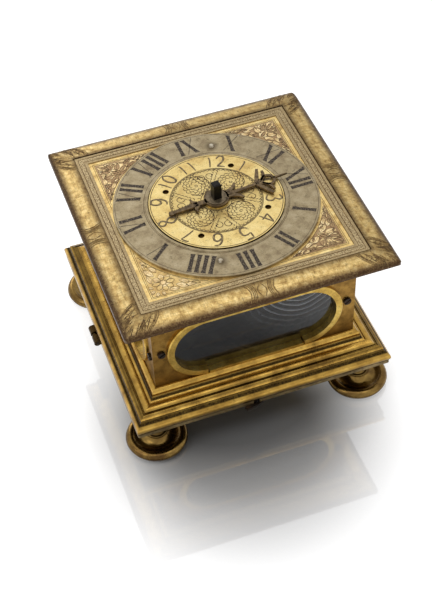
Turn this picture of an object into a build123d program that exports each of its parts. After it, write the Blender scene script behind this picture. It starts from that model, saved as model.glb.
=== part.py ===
"""Square horizontal table clock with one hand and an alarm disc, in millimetres.

The clock lies flat and is read from above. +Z is up, the feet stand on z = 0, and the dial's
axis is the Z axis. The twelve points to +X and the hinge of the base is on the -X side.
"""

import os
from math import acos, asin, atan2, cos, degrees, hypot, radians, sin, sqrt

from build123d import *

os.makedirs("parts", exist_ok=True)

# Heights that stack from the floor up
foot_height = 20.5
base_plate_thickness = 2.0
base_moulding_height = 14.0
wall_height = 51.5
ledge_rise = 3.0
dial_plate_thickness = 1.6
dial_recess = 0.4
ovolo_rise = 2.9

# Outside of the case, across the flats
case_width = 100.0
wall_thickness = 1.6
top_width = 130.0
base_plate_width = 128.0
dial_opening = 97.4
band_width = 5.3
foot_spacing = base_plate_width - 23.0

# Clearances
running = 0.05
seat = 0.1
free = 0.3

# Windows in the four walls
window_length = 80.0
window_height = wall_height - 19.0
window_rise = window_height / 2 + 3.5
sill_length = 48.0
sill_drop = 1.5
bezel_width = 3.4
bezel_thickness = 1.6
glass_thickness = 1.2
glass_lap = 2.8

# Dial furniture
ring_outer_radius = dial_opening / 2 - 0.2
ring_inner_radius = 32.1
ring_thickness = 1.5
disc_radius = ring_inner_radius - 0.4
disc_thickness = 2.0
hand_thickness = 1.0
hand_heading = 6.0
square_side = 3.9
square_height = 8.45

# Movement
plate_width = 84.0
plate_thickness = 1.6
lower_plate_rise = 24.5
pillar_length = wall_height - 19.1
wheel_thickness = 1.6
wheel_teeth = 48
pinion_leaves = 6
great_module = 0.8
second_module = 0.65
contrate_module = 0.6
report_module = 1.3
report_leaves = 12
dial_wheel_teeth = 36
wheel_rim = 2.2
wheel_arm = 3.0
small_arm = 2.2
alarm_module = 0.7
alarm_teeth = 40
alarm_leaves = 8
pivot_radius = 1.0
arbor_radius = 1.5
mesh_play = 0.06

# Levels worked out from the stack
plate_bottom = foot_height
plate_top = plate_bottom + base_plate_thickness
wall_bottom = plate_top + base_moulding_height
wall_top = wall_bottom + wall_height
ledge_top = wall_top + ledge_rise
dial_top = ledge_top + dial_plate_thickness
band_top = dial_top + dial_recess
window_level = wall_bottom + window_rise
lower_bottom = plate_top + lower_plate_rise
lower_top = lower_bottom + plate_thickness
upper_bottom = lower_top + pillar_length
upper_top = upper_bottom + plate_thickness
case_half = case_width / 2
inner_half = case_half - wall_thickness
top_half = top_width / 2


def at(place, height):
    """Level plane at a place in plan."""
    return Plane(origin=(place[0], place[1], height))


def upright(place):
    """Upright plane through a vertical axis: first radius, then height."""
    return Plane(origin=(place[0], place[1], 0), x_dir=(1, 0, 0), z_dir=(0, -1, 0))


def step_from(place, distance, heading):
    """The place a distance away from another, along a heading in degrees."""
    angle = radians(heading)
    return (place[0] + distance * cos(angle), place[1] + distance * sin(angle))


def corners_at(half):
    """The four corners of a square about the dial's axis."""
    return [(-half, -half), (half, -half), (-half, half), (half, half)]


def turned(outline, place=(0, 0)):
    """A turned piece, from (radius, height) corners about a vertical axis."""
    with BuildPart() as piece:
        with BuildSketch(upright(place)):
            with BuildLine():
                Polyline(*outline, close=True)
            make_face()
        revolve(axis=Axis((place[0], place[1], 0), (0, 0, 1)))
    return piece


def toothed_face(teeth, root_radius, tip_radius, root_share, tip_share, first_heading):
    """The outline of a wheel or pinion. A share is a tooth's part of the pitch."""
    pitch = 360 / teeth
    outline = []
    for tooth in range(teeth):
        for radius, share in (
            (root_radius, -root_share),
            (tip_radius, -tip_share),
            (tip_radius, tip_share),
            (root_radius, root_share),
        ):
            outline.append(step_from((0, 0), radius, first_heading + (tooth + share / 2) * pitch))
    with BuildLine() as edge:
        Polyline(*outline, close=True)
    make_face(edge.edges())


def wheel_face(teeth, module, meets_at):
    """A wheel's outline, with a tooth on the heading where its pinion stands."""
    toothed_face(teeth, module * (teeth / 2 - 1.3), module * (teeth / 2 + 1.2), 0.56, 0.2, meets_at)


def pinion_face(leaves, module, meets_at):
    """A pinion's outline, with a gap on the heading where its wheel stands."""
    half_pitch = 180 / leaves
    toothed_face(
        leaves, module * (leaves / 2 - 1.6), module * (leaves / 2 + 0.8), 0.38, 0.2, meets_at + half_pitch
    )


def field_radius(teeth, module):
    """The inside radius of a crossed-out wheel's rim."""
    return module * (teeth / 2 - 1.3) - wheel_rim


def cross_out(rim_radius, arm_width, bore_radius):
    """Cuts a wheel's field away to leave four arms, a hub and its bore."""
    Circle(rim_radius, mode=Mode.SUBTRACT)
    Circle(bore_radius + arm_width)
    for heading in (0, 90):
        Rectangle(2 * rim_radius + 0.4, arm_width, rotation=heading)
    Circle(bore_radius, mode=Mode.SUBTRACT)


# Places of the arbors in plan
centre = (0, 0)
report_heading = -50.0
great_heading = 70.0
second_heading = 110.0
fusee_place = step_from(
    centre, report_module * (report_leaves + dial_wheel_teeth) / 2 + mesh_play, report_heading
)
second_place = step_from(
    fusee_place, great_module * (wheel_teeth + pinion_leaves) / 2 + mesh_play, great_heading
)
contrate_place = step_from(
    second_place, second_module * (wheel_teeth + pinion_leaves) / 2 + mesh_play, second_heading
)
barrel_place = (-22.0, -22.0)
alarm_place = (-26.0, 24.0)
alarm_heading = -80.0
alarm_escape_place = step_from(
    alarm_place, alarm_module * (alarm_teeth + alarm_leaves) / 2 + mesh_play, alarm_heading
)


# Turned feet: a ringed neck over a wide dished saucer, with a thin lip and a bun underneath
foot_radius = 15.1
foot_neck_radius = 4.4
foot_stud_radius = 2.0
nut_height = 2.4
stud_top = plate_top + nut_height + 0.6
for name, place in zip(
    ("front_left", "front_right", "back_left", "back_right"), corners_at(foot_spacing / 2)
):
    with BuildPart() as foot:
        with BuildSketch(upright(place)):
            with BuildLine():
                stud = Polyline(
                    (0, 0),
                    (0, stud_top),
                    (foot_stud_radius, stud_top),
                    (foot_stud_radius, plate_bottom),
                    (foot_neck_radius + 2.0, plate_bottom),
                    (foot_neck_radius + 2.0, plate_bottom - 1.2),
                    (foot_neck_radius, plate_bottom - 2.2),
                )
                waist = ThreePointArc(
                    stud @ 1, (foot_neck_radius - 1.0, 12.6), (foot_neck_radius, 8.8)
                )
                bead = ThreePointArc(
                    waist @ 1, (foot_neck_radius + 1.1, 8.0), (foot_neck_radius + 0.3, 7.2)
                )
                dish = ThreePointArc(bead @ 1, (foot_neck_radius + 3.2, 4.6), (11.4, 5.6))
                rim = ThreePointArc(dish @ 1, (13.9, 5.4), (foot_radius, 3.3))
                lip = Polyline(rim @ 1, (foot_radius - 0.5, 2.5), (foot_radius - 0.6, 1.9))
                bun = ThreePointArc(lip @ 1, (12.6, 0.7), (9.5, 0))
                Line(bun @ 1, (0, 0))
            make_face()
        revolve(axis=Axis((place[0], place[1], 0), (0, 0, 1)))
    foot.part.label = f"foot_{name}"
    export_step(foot.part, f"parts/foot_{name}.step")

# Hexagon nuts that hold the feet's studs inside the base
nut_flats = 7.0
with BuildPart() as foot_nuts:
    with BuildSketch(Plane.XY.offset(plate_top)):
        with Locations(*corners_at(foot_spacing / 2)):
            RegularPolygon(nut_flats / 2, 6, major_radius=False)
            Circle(foot_stud_radius + running, mode=Mode.SUBTRACT)
    extrude(amount=nut_height)
foot_nuts.part.label = "foot_nuts"
export_step(foot_nuts.part, "parts/foot_nuts.step")

# Hinge line on the left side, just outside the seam between base plate and moulding
hinge_x = -(base_plate_width / 2 + 1.4)
hinge_z = plate_top - 1.3
hinge_y = 4.2
knuckle_radius = 1.8
knuckle_length = 4.6
middle_knuckle_radius = 1.3
knuckle_gap = 1.9
hinge_pin_radius = 0.7
leaf_length = 8.4
leaf_width = 2 * knuckle_length + knuckle_gap
plate_leaf_width = 7.0

# Latch under the front edge: a pin in the moulding and a hook that turns on the base plate
latch_pin_place = (-5.0, -62.2)
latch_pin_radius = 1.0
latch_pivot_place = (5.5, -58.5)
latch_pivot_radius = 1.2
hook_thickness = 1.2
hook_top = plate_bottom - 0.3
latch_pin_socket = 3.0

# Base plate: the hinged bottom of the case, which carries the feet
with BuildPart() as base_plate:
    with BuildSketch(Plane.XY.offset(plate_bottom)):
        RectangleRounded(base_plate_width, base_plate_width, 1.0)
        with Locations(*corners_at(foot_spacing / 2)):
            Circle(foot_stud_radius + running, mode=Mode.SUBTRACT)
        with Locations(latch_pivot_place):
            Circle(latch_pivot_radius + running, mode=Mode.SUBTRACT)
        with Locations(latch_pin_place):
            Circle(latch_pin_radius + 0.5, mode=Mode.SUBTRACT)
            Rectangle(
                2 * latch_pin_radius + 1.0, 5, align=(Align.CENTER, Align.MAX), mode=Mode.SUBTRACT
            )
        with Locations((hinge_x, hinge_y)):
            Rectangle(2 * knuckle_radius + 2 * free, leaf_width + 2 * free, mode=Mode.SUBTRACT)
    extrude(amount=base_plate_thickness)
base_plate.part.label = "base_plate"
export_step(base_plate.part, "parts/base_plate.step")

# Steel hinge: the case's leaf has the two outer knuckles, let into the moulding's underside
hinge_plane = Plane(origin=(hinge_x, hinge_y, hinge_z), x_dir=(1, 0, 0), z_dir=(0, 1, 0))
case_leaf_thickness = hinge_z + knuckle_radius - plate_top
with BuildPart() as case_hinge_leaf:
    for side in (-1, 1):
        start = side * knuckle_gap / 2
        with BuildSketch(hinge_plane.offset(start)):
            Circle(knuckle_radius)
            Circle(hinge_pin_radius + running, mode=Mode.SUBTRACT)
        extrude(amount=side * knuckle_length)
        with BuildSketch(at((hinge_x, hinge_y + start), plate_top)):
            Rectangle(
                leaf_length,
                knuckle_length,
                align=(Align.MIN, Align.MIN if side > 0 else Align.MAX),
            )
        extrude(amount=case_leaf_thickness)
    with BuildSketch(at((hinge_x + leaf_length, hinge_y), plate_top)):
        Rectangle(leaf_length / 2, leaf_width, align=(Align.MAX, Align.CENTER))
    extrude(amount=case_leaf_thickness)
case_hinge_leaf.part.label = "case_hinge_leaf"
export_step(case_hinge_leaf.part, "parts/case_hinge_leaf.step")

# The plate's leaf has the narrow middle knuckle and lies under the base plate
plate_leaf_bottom = hinge_z - middle_knuckle_radius
with BuildPart() as plate_hinge_leaf:
    with BuildSketch(hinge_plane):
        Circle(middle_knuckle_radius)
        Circle(hinge_pin_radius, mode=Mode.SUBTRACT)
    extrude(amount=knuckle_gap / 2 - seat, both=True)
    with BuildSketch(at((hinge_x, hinge_y), plate_leaf_bottom)):
        Rectangle(leaf_length, knuckle_gap - 2 * seat, align=(Align.MIN, Align.CENTER))
        with Locations((leaf_length, 0)):
            Rectangle(leaf_length / 2, plate_leaf_width, align=(Align.MAX, Align.CENTER))
    extrude(amount=plate_bottom - plate_leaf_bottom)
plate_hinge_leaf.part.label = "plate_hinge_leaf"
export_step(plate_hinge_leaf.part, "parts/plate_hinge_leaf.step")

with BuildPart() as hinge_pin:
    with BuildSketch(hinge_plane):
        Circle(hinge_pin_radius)
    extrude(amount=leaf_width / 2, both=True)
hinge_pin.part.label = "hinge_pin"
export_step(hinge_pin.part, "parts/hinge_pin.step")

# Latch hook: its curl closes round the pin from the front, its nose is the thumb-piece
curl_radius = 2.9
curl_gap = 0.4
mouth_heading = degrees(
    atan2(latch_pivot_place[0] - latch_pin_place[0], latch_pin_place[1] - latch_pivot_place[1])
)
mouth_width = 2 * (latch_pin_radius + curl_gap) + 0.4
with BuildPart() as latch_hook:
    with BuildSketch(Plane.XY.offset(hook_top - hook_thickness)):
        with Locations(latch_pivot_place):
            Circle(2.6)
        with Locations(latch_pin_place):
            Circle(curl_radius)
        with BuildLine():
            Polyline(
                (latch_pivot_place[0] - 1.6, latch_pivot_place[1] + 2.0),
                (latch_pivot_place[0], latch_pivot_place[1] - 2.6),
                (latch_pin_place[0] + 1.2, latch_pin_place[1] - 2.6),
                (latch_pin_place[0] + 2.0, latch_pin_place[1] + 1.6),
                close=True,
            )
        make_face()
        with BuildLine():
            Polyline(
                (latch_pin_place[0], latch_pin_place[1] - curl_radius),
                (latch_pin_place[0] - 5.6, latch_pin_place[1] - 4.0),
                (latch_pin_place[0] - 6.2, latch_pin_place[1] - 2.2),
                (latch_pin_place[0] - curl_radius, latch_pin_place[1]),
                close=True,
            )
        make_face()
        with Locations(latch_pin_place):
            Circle(latch_pin_radius + curl_gap, mode=Mode.SUBTRACT)
            Rectangle(
                6,
                mouth_width,
                rotation=mouth_heading,
                align=(Align.MIN, Align.CENTER),
                mode=Mode.SUBTRACT,
            )
        with Locations(latch_pivot_place):
            Circle(latch_pivot_radius + running, mode=Mode.SUBTRACT)
    extrude(amount=hook_thickness)
latch_hook.part.label = "latch_hook"
export_step(latch_hook.part, "parts/latch_hook.step")

# Shouldered screw on which the hook turns
hook_bottom = hook_top - hook_thickness
latch_screw = turned(
    [
        (0, hook_bottom - seat - 1.0),
        (2.1, hook_bottom - seat - 1.0),
        (2.1, hook_bottom - seat),
        (latch_pivot_radius, hook_bottom - seat),
        (latch_pivot_radius, plate_top),
        (0, plate_top),
    ],
    latch_pivot_place,
)
latch_screw.part.label = "latch_screw"
export_step(latch_screw.part, "parts/latch_screw.step")

latch_pin = turned(
    [
        (0, hook_bottom - 0.5),
        (latch_pin_radius, hook_bottom - 0.5),
        (latch_pin_radius, plate_top + latch_pin_socket),
        (0, plate_top + latch_pin_socket),
    ],
    latch_pin_place,
)
latch_pin.part.label = "latch_pin"
export_step(latch_pin.part, "parts/latch_pin.step")

# Base moulding: one profile run round the case and mitred. From the wall outwards it has a
# quarter round, a small hollow, a flat ovolo, a sunk bead, a fillet, a hollow and a torus.
base_out = case_half
with BuildPart() as base_moulding:
    with BuildLine() as base_run:
        Polyline(
            (base_out, 0),
            (base_out, base_out),
            (-base_out, base_out),
            (-base_out, -base_out),
            (base_out, -base_out),
            (base_out, 0),
        )
    with BuildSketch(Plane(origin=(0, 0, plate_top), x_dir=(1, 0, 0), z_dir=(0, -1, 0))):
        with BuildLine():
            inside = Polyline(
                (base_out + 13.8, 0),
                (base_out + 10.5, 0),
                (base_out + 8.5, 4.5),
                (base_out, 11.0),
                (base_out - 3.0, 11.0),
                (base_out - 3.0, base_moulding_height),
                (base_out + 0.3, base_moulding_height),
            )
            quarter_round = ThreePointArc(
                inside @ 1, (base_out + 2.0, 13.2), (base_out + 2.6, 11.4)
            )
            small_hollow = ThreePointArc(
                quarter_round @ 1, (base_out + 3.2, 9.7), (base_out + 4.7, 8.7)
            )
            step = Line(small_hollow @ 1, (base_out + 4.9, 9.0))
            ovolo = ThreePointArc(step @ 1, (base_out + 6.9, 8.8), (base_out + 8.3, 7.9))
            sunk = Polyline(ovolo @ 1, (base_out + 8.4, 7.4), (base_out + 9.4, 7.3))
            fillet_edge = Polyline(sunk @ 1, (base_out + 9.5, 7.7), (base_out + 11.5, 6.7))
            hollow = ThreePointArc(
                fillet_edge @ 1, (base_out + 11.7, 5.6), (base_out + 12.7, 4.8)
            )
            ThreePointArc(hollow @ 1, (base_out + 14.3, 2.6), inside @ 0)
        make_face()
    sweep(path=base_run.wires()[0], transition=Transition.RIGHT)
    with BuildSketch(Plane.XY.offset(plate_top)):
        with Locations((hinge_x, hinge_y)):
            Rectangle(leaf_length, leaf_width, align=(Align.MIN, Align.CENTER))
    extrude(amount=case_leaf_thickness, mode=Mode.SUBTRACT)
    with BuildSketch(at(latch_pin_place, plate_top)):
        Circle(latch_pin_radius)
    extrude(amount=latch_pin_socket, mode=Mode.SUBTRACT)
base_moulding.part.label = "base_moulding"
export_step(base_moulding.part, "parts/base_moulding.step")

# The four sides of the case, each seen square on from outside
side_planes = {
    "front": Plane(origin=(0, -case_half, window_level), x_dir=(1, 0, 0), z_dir=(0, -1, 0)),
    "back": Plane(origin=(0, case_half, window_level), x_dir=(-1, 0, 0), z_dir=(0, 1, 0)),
    "left": Plane(origin=(-case_half, 0, window_level), x_dir=(0, -1, 0), z_dir=(-1, 0, 0)),
    "right": Plane(origin=(case_half, 0, window_level), x_dir=(0, 1, 0), z_dir=(1, 0, 0)),
}
post_side = 5.0
post_place = inner_half - post_side / 2
screw_radius = 0.9
screw_head_radius = 1.9
screw_head_height = 1.1
screw_length = 4.4
spigot_wall = 2.4
screw_rise = 1.75
side_screw_drop = 4.0


def screw_places(side):
    """A wall's two screws. On the left and right they sit lower, to clear those in front."""
    drop = side_screw_drop if side in ("left", "right") else 0
    return [(-post_place, screw_rise - drop), (post_place, screw_rise - drop)]


# Walls: brass panels with a long window, front and back lapping the ends of the other two
for side, plane in side_planes.items():
    length = case_width if side in ("front", "back") else 2 * inner_half
    with BuildPart() as wall:
        with BuildSketch(plane):
            with Locations((0, wall_height / 2 - window_rise)):
                Rectangle(length, wall_height)
            SlotOverall(
                window_length + 2 * spigot_wall, window_height + 2 * spigot_wall, mode=Mode.SUBTRACT
            )
            with Locations(*screw_places(side)):
                Circle(screw_radius + running, mode=Mode.SUBTRACT)
        extrude(amount=-wall_thickness)
    wall.part.label = f"wall_{side}"
    export_step(wall.part, f"parts/wall_{side}.step")

# Window bezels: a rounded flange outside and a spigot through the wall. The middle of the
# lower side is cut lower than the ends, with a saw slit at each end of the cut.
slit_width = 0.8
slit_depth = 1.4
for side, plane in side_planes.items():
    with BuildPart() as bezel:
        with BuildSketch(plane):
            SlotOverall(window_length + 2 * bezel_width, window_height + 2 * bezel_width)
        extrude(amount=bezel_thickness)
        outer_face = bezel.faces().sort_by(Axis(plane.origin, plane.z_dir))[-1]
        fillet(outer_face.edges(), radius=0.7)
        with BuildSketch(plane):
            SlotOverall(
                window_length + 2 * (spigot_wall - running),
                window_height + 2 * (spigot_wall - running),
            )
        extrude(amount=-wall_thickness)
        with BuildSketch(plane.offset(bezel_thickness)):
            SlotOverall(window_length, window_height)
            with Locations((0, -window_height / 2 - sill_drop)):
                Rectangle(sill_length, 2 * sill_drop, align=(Align.CENTER, Align.MIN))
                for end in (-1, 1):
                    with Locations((end * sill_length / 2, -slit_depth)):
                        Rectangle(slit_width, 2 * slit_depth, align=(Align.CENTER, Align.MIN))
        extrude(amount=-bezel_thickness - wall_thickness, mode=Mode.SUBTRACT)
    bezel.part.label = f"bezel_{side}"
    export_step(bezel.part, f"parts/bezel_{side}.step")

# Glass panes, bedded against the inside of the walls
with BuildPart() as window_glasses:
    for plane in side_planes.values():
        with BuildSketch(plane.offset(-wall_thickness)):
            RectangleRounded(window_length + 2 * glass_lap, window_height + 2 * glass_lap, 6.0)
        extrude(amount=-glass_thickness)
window_glasses.part.label = "window_glasses"
export_step(window_glasses.part, "parts/window_glasses.step")

# Square posts in the corners of the case, into which the wall screws go
with BuildPart() as corner_posts:
    with BuildSketch(Plane.XY.offset(wall_bottom)):
        with Locations(*corners_at(post_place)):
            Rectangle(post_side, post_side)
    extrude(amount=wall_height)
    for side, plane in side_planes.items():
        with BuildSketch(plane.offset(-wall_thickness)):
            with Locations(*screw_places(side)):
                Circle(screw_radius)
        extrude(amount=-(screw_length - wall_thickness), mode=Mode.SUBTRACT)
corner_posts.part.label = "corner_posts"
export_step(corner_posts.part, "parts/corner_posts.step")

# Steel screws that hold the walls to the posts, two to a wall
with BuildPart() as wall_screws:
    for side, plane in side_planes.items():
        with BuildSketch(plane):
            with Locations(*screw_places(side)):
                Circle(screw_head_radius)
        extrude(amount=screw_head_height)
        with BuildSketch(plane):
            with Locations(*screw_places(side)):
                Circle(screw_radius)
        extrude(amount=-screw_length)
        with BuildSketch(plane.offset(screw_head_height)):
            with Locations(*screw_places(side)):
                Rectangle(2 * screw_head_radius + 1, 0.6, rotation=35)
        extrude(amount=-0.5, mode=Mode.SUBTRACT)
wall_screws.part.label = "wall_screws"
export_step(wall_screws.part, "parts/wall_screws.step")

# Top moulding: the broad frame round the dial. A flat band, a sunk line and a wide ovolo on
# top, and a hollow below that dies into a skirt round the tops of the walls. The corner at the
# back right is worn rounder than the others.
corner_rounding = 1.8
worn_corner_rounding = 5.0
opening_half = dial_opening / 2
band_half = opening_half + band_width
ovolo_foot = band_top + 0.3 - ovolo_rise
with BuildPart() as top_moulding:
    with BuildLine() as top_run:
        Polyline(
            (case_half, 0),
            (case_half, case_half),
            (-case_half, case_half),
            (-case_half, -case_half),
            (case_half, -case_half),
            (case_half, 0),
        )
    with BuildSketch(Plane.XZ):
        with BuildLine():
            inside = Polyline(
                (case_half, wall_top - 5.0),
                (case_half, wall_top),
                (case_half - 3.0, wall_top),
                (case_half - 3.0, ledge_top),
                (opening_half, ledge_top),
                (opening_half, band_top),
                (band_half, band_top),
                (band_half, band_top - 0.5),
                (band_half + 0.5, band_top - 0.5),
                (band_half + 0.5, band_top + 0.3),
            )
            ovolo = EllipticalCenterArc(
                (band_half + 0.5, ovolo_foot),
                top_half - band_half - 0.5,
                ovolo_rise,
                start_angle=0,
                arc_size=90,
            )
            edge = Polyline(
                (top_half, ovolo_foot),
                (top_half, ovolo_foot - 1.0),
                (top_half - 0.6, ovolo_foot - 1.6),
                (top_half - 3.0, ovolo_foot - 1.6),
            )
            hollow = ThreePointArc(
                edge @ 1, (case_half + 6.0, wall_top - 1.2), (case_half + 2.4, wall_top - 3.4)
            )
            Polyline(hollow @ 1, (case_half + 2.0, wall_top - 5.0), inside @ 0)
        make_face()
    sweep(path=top_run.wires()[0], transition=Transition.RIGHT)
    with BuildSketch(Plane.XY.offset(wall_top - 5.0)):
        RectangleRounded(top_width, top_width, corner_rounding)
        with Locations((top_half, top_half)):
            Rectangle(
                worn_corner_rounding,
                worn_corner_rounding,
                align=(Align.MAX, Align.MAX),
                mode=Mode.SUBTRACT,
            )
        with Locations((top_half - worn_corner_rounding, top_half - worn_corner_rounding)):
            Circle(worn_corner_rounding)
    extrude(amount=band_top + 0.3 - wall_top + 5.0, mode=Mode.INTERSECT)
top_moulding.part.label = "top_moulding"
export_step(top_moulding.part, "parts/top_moulding.step")

# Dial plate, dropped into the frame's rebate
dial_plate_width = dial_opening - 2 * seat
disc_pipe_radius = 3.4
dial_foot_place = 33.0
dial_foot_radius = 1.8
with BuildPart() as dial_plate:
    with BuildSketch(Plane.XY.offset(ledge_top)):
        Rectangle(dial_plate_width, dial_plate_width)
        Circle(disc_pipe_radius + seat, mode=Mode.SUBTRACT)
    extrude(amount=dial_plate_thickness)
dial_plate.part.label = "dial_plate"
export_step(dial_plate.part, "parts/dial_plate.step")

# Dial feet: turned pillars between the dial plate and the movement's upper plate
with BuildPart() as dial_feet:
    with BuildSketch(Plane.XY.offset(upper_top)):
        with Locations(*corners_at(dial_foot_place)):
            Circle(dial_foot_radius)
    extrude(amount=ledge_top - upper_top)
    with BuildSketch(Plane.XY.offset(upper_top - plate_thickness - 1.2)):
        with Locations(*corners_at(dial_foot_place)):
            Circle(dial_foot_radius - 0.7)
    extrude(amount=plate_thickness + 1.2)
dial_feet.part.label = "dial_feet"
export_step(dial_feet.part, "parts/dial_feet.step")

# Chapter ring: a flat ring with a thin raised rim round the alarm disc
rim_width = 1.5
rim_rise = 0.35
ring_top = dial_top + ring_thickness
chapter_ring = turned(
    [
        (ring_inner_radius, dial_top),
        (ring_outer_radius, dial_top),
        (ring_outer_radius, ring_top - 0.2),
        (ring_outer_radius - 0.2, ring_top),
        (ring_inner_radius + rim_width, ring_top),
        (ring_inner_radius + rim_width - 0.15, ring_top + rim_rise),
        (ring_inner_radius + 0.15, ring_top + rim_rise),
        (ring_inner_radius, ring_top + rim_rise - 0.15),
    ]
)
chapter_ring.part.label = "chapter_ring"
export_step(chapter_ring.part, "parts/chapter_ring.step")

# Rivets and studs of the ring: two round heads between numerals and three edge studs
rivet_circle_radius = 39.0
rivet_radius = 1.3
rivet_rise = 0.7
stud_radius = 0.6
rivet_headings = (74, -107)
stud_headings = (57, 180, -56)
with BuildPart() as ring_rivets:
    with BuildSketch(Plane.XY.offset(ring_top)):
        for heading in rivet_headings:
            with Locations(step_from(centre, rivet_circle_radius, heading)):
                Circle(rivet_radius)
        for heading in stud_headings:
            with Locations(step_from(centre, ring_outer_radius - 1.0, heading)):
                Circle(stud_radius)
    extrude(amount=rivet_rise, taper=25)
ring_rivets.part.label = "ring_rivets"
export_step(ring_rivets.part, "parts/ring_rivets.step")

# Alarm disc with its hub ring, four finger holes and the pipe on which it turns
disc_bottom = dial_top + free
disc_top = disc_bottom + disc_thickness
hub_ring_radius = 6.0
hub_ring_rise = 0.25
centre_arbor_radius = 2.0
cam_thickness = 1.2
cam_radius = 9.0
cam_bottom = ledge_top - 3.0
finger_hole_radius = 1.5
finger_hole_depth = 1.1
finger_circle_radius = 24.6
finger_headings = (54, -33, -126, 146)
with BuildPart() as alarm_disc:
    with BuildSketch(Plane.XY.offset(disc_bottom)):
        Circle(disc_radius)
    extrude(amount=disc_thickness)
    with BuildSketch(Plane.XY.offset(disc_top)):
        for heading in finger_headings:
            with Locations(step_from(centre, finger_circle_radius, heading)):
                Circle(finger_hole_radius)
    extrude(amount=-finger_hole_depth, mode=Mode.SUBTRACT)
    with BuildSketch(Plane.XY.offset(disc_top)):
        Circle(hub_ring_radius)
    extrude(amount=hub_ring_rise)
    with BuildSketch(Plane.XY.offset(cam_bottom)):
        Circle(disc_pipe_radius)
    extrude(amount=disc_bottom - cam_bottom)
    with BuildSketch(Plane.XY.offset(cam_bottom)):
        Circle(centre_arbor_radius + running)
    extrude(amount=disc_top + hub_ring_rise - cam_bottom, mode=Mode.SUBTRACT)
alarm_disc.part.label = "alarm_disc"
export_step(alarm_disc.part, "parts/alarm_disc.step")

# Alarm cam, pinned to the pipe under the dial, with the notch that lets the alarm off
with BuildPart() as alarm_cam:
    with BuildSketch(Plane.XY.offset(cam_bottom)):
        Circle(cam_radius)
        with Locations((cam_radius, 0)):
            Rectangle(5.0, 3.0, mode=Mode.SUBTRACT)
        Circle(disc_pipe_radius, mode=Mode.SUBTRACT)
    extrude(amount=cam_thickness)
alarm_cam.part.label = "alarm_cam"
export_step(alarm_cam.part, "parts/alarm_cam.step")

# Centre arbor: an iron arbor that slips in the dial wheel and ends in a tall square
hand_bottom = disc_top + hub_ring_rise + free
hand_top = hand_bottom + hand_thickness
boss_thickness = 0.5
boss_radius = 5.0
square_top = hand_top + boss_thickness + square_height
with BuildPart() as centre_arbor:
    with BuildSketch(Plane.XY.offset(upper_bottom)):
        Circle(pivot_radius)
    extrude(amount=plate_thickness + seat)
    with BuildSketch(Plane.XY.offset(upper_top + seat)):
        Circle(centre_arbor_radius)
    extrude(amount=hand_bottom - upper_top - seat)
    with BuildSketch(Plane.XY.offset(hand_bottom)):
        Rectangle(square_side, square_side, rotation=hand_heading)
    extrude(amount=square_top - hand_bottom)
    chamfer(centre_arbor.faces().sort_by(Axis.Z)[-1].edges(), length=0.5)
centre_arbor.part.label = "centre_arbor"
export_step(centre_arbor.part, "parts/centre_arbor.step")

# Hour hand: forged iron, pierced and filed, with a crescent and loop behind the needle, small
# scrolls by the boss and a barbed tail that reads the alarm disc
hand_plane = Plane.XY.offset(hand_bottom).rotated((0, 0, hand_heading))
loop_place = (27.0, 0)
needle_tip = 37.0
tail_ball_place = (-22.9, 0)
with BuildPart() as hour_hand:
    with BuildSketch(hand_plane):
        Circle(6.2)
        with BuildLine():
            Polyline(
                (29.0, -0.7), (needle_tip, -0.15), (needle_tip, 0.15), (29.0, 0.7), close=True
            )
        make_face()
        with BuildLine():
            Polyline((4.0, -1.5), (24.5, -0.8), (24.5, 0.8), (4.0, 1.5), close=True)
        make_face()
        with Locations((30.6, 0)):
            Circle(9.6)
            Circle(8.2, mode=Mode.SUBTRACT)
            Rectangle(12, 20, align=(Align.MIN, Align.CENTER), mode=Mode.SUBTRACT)
            with Locations((-4.2, 0)):
                Rectangle(12, 20, align=(Align.MIN, Align.CENTER), mode=Mode.SUBTRACT)
    extrude(amount=hand_thickness)
    with BuildSketch(hand_plane):
        with BuildLine():
            Polyline((4.0, -1.5), (24.5, -0.8), (24.5, 0.8), (4.0, 1.5), close=True)
        make_face()
        with Locations(loop_place):
            Circle(3.8)
            Circle(2.5, mode=Mode.SUBTRACT)
        for side in (-1, 1):
            with BuildLine():
                arm = ThreePointArc((22.2, 0), (23.4, side * 4.8), (25.9, side * 9.4))
                back = ThreePointArc(arm @ 1, (21.8, side * 5.4), (20.2, 0))
                Line(back @ 1, arm @ 0)
            make_face()
            with BuildLine():
                arm = ThreePointArc((5.0, side * 1.4), (9.4, side * 2.2), (12.6, side * 5.8))
                back = ThreePointArc(arm @ 1, (9.0, side * 4.4), (5.0, side * 3.4))
                Line(back @ 1, arm @ 0)
            make_face()
            with BuildLine():
                Polyline(
                    (-9.0, side * 1.2), (-11.2, side * 4.9), (-12.4, side * 1.2), close=True
                )
            make_face()
        with BuildLine():
            Polyline((-4.0, -1.8), (-4.0, 1.8), (-11.5, 2.0), (-21.6, 0.9), (-21.6, -0.9),
                     (-11.5, -2.0), close=True)
        make_face()
        with Locations(tail_ball_place):
            Circle(1.5)
    extrude(amount=hand_thickness)
    with BuildSketch(hand_plane):
        Rectangle(square_side + 2 * running, square_side + 2 * running)
    extrude(amount=hand_thickness, mode=Mode.SUBTRACT)
hour_hand.part.label = "hour_hand"
export_step(hour_hand.part, "parts/hour_hand.step")

# Domed iron collet that clamps the hand on its square
with BuildPart() as hand_collet:
    with BuildSketch(Plane.XY.offset(hand_top)):
        Circle(boss_radius)
    extrude(amount=boss_thickness)
    chamfer(hand_collet.faces().sort_by(Axis.Z)[-1].edges(), length=0.2)
    with BuildSketch(hand_plane.offset(hand_thickness)):
        Rectangle(square_side + 2 * running, square_side + 2 * running)
    extrude(amount=boss_thickness, mode=Mode.SUBTRACT)
hand_collet.part.label = "hand_collet"
export_step(hand_collet.part, "parts/hand_collet.step")

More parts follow.
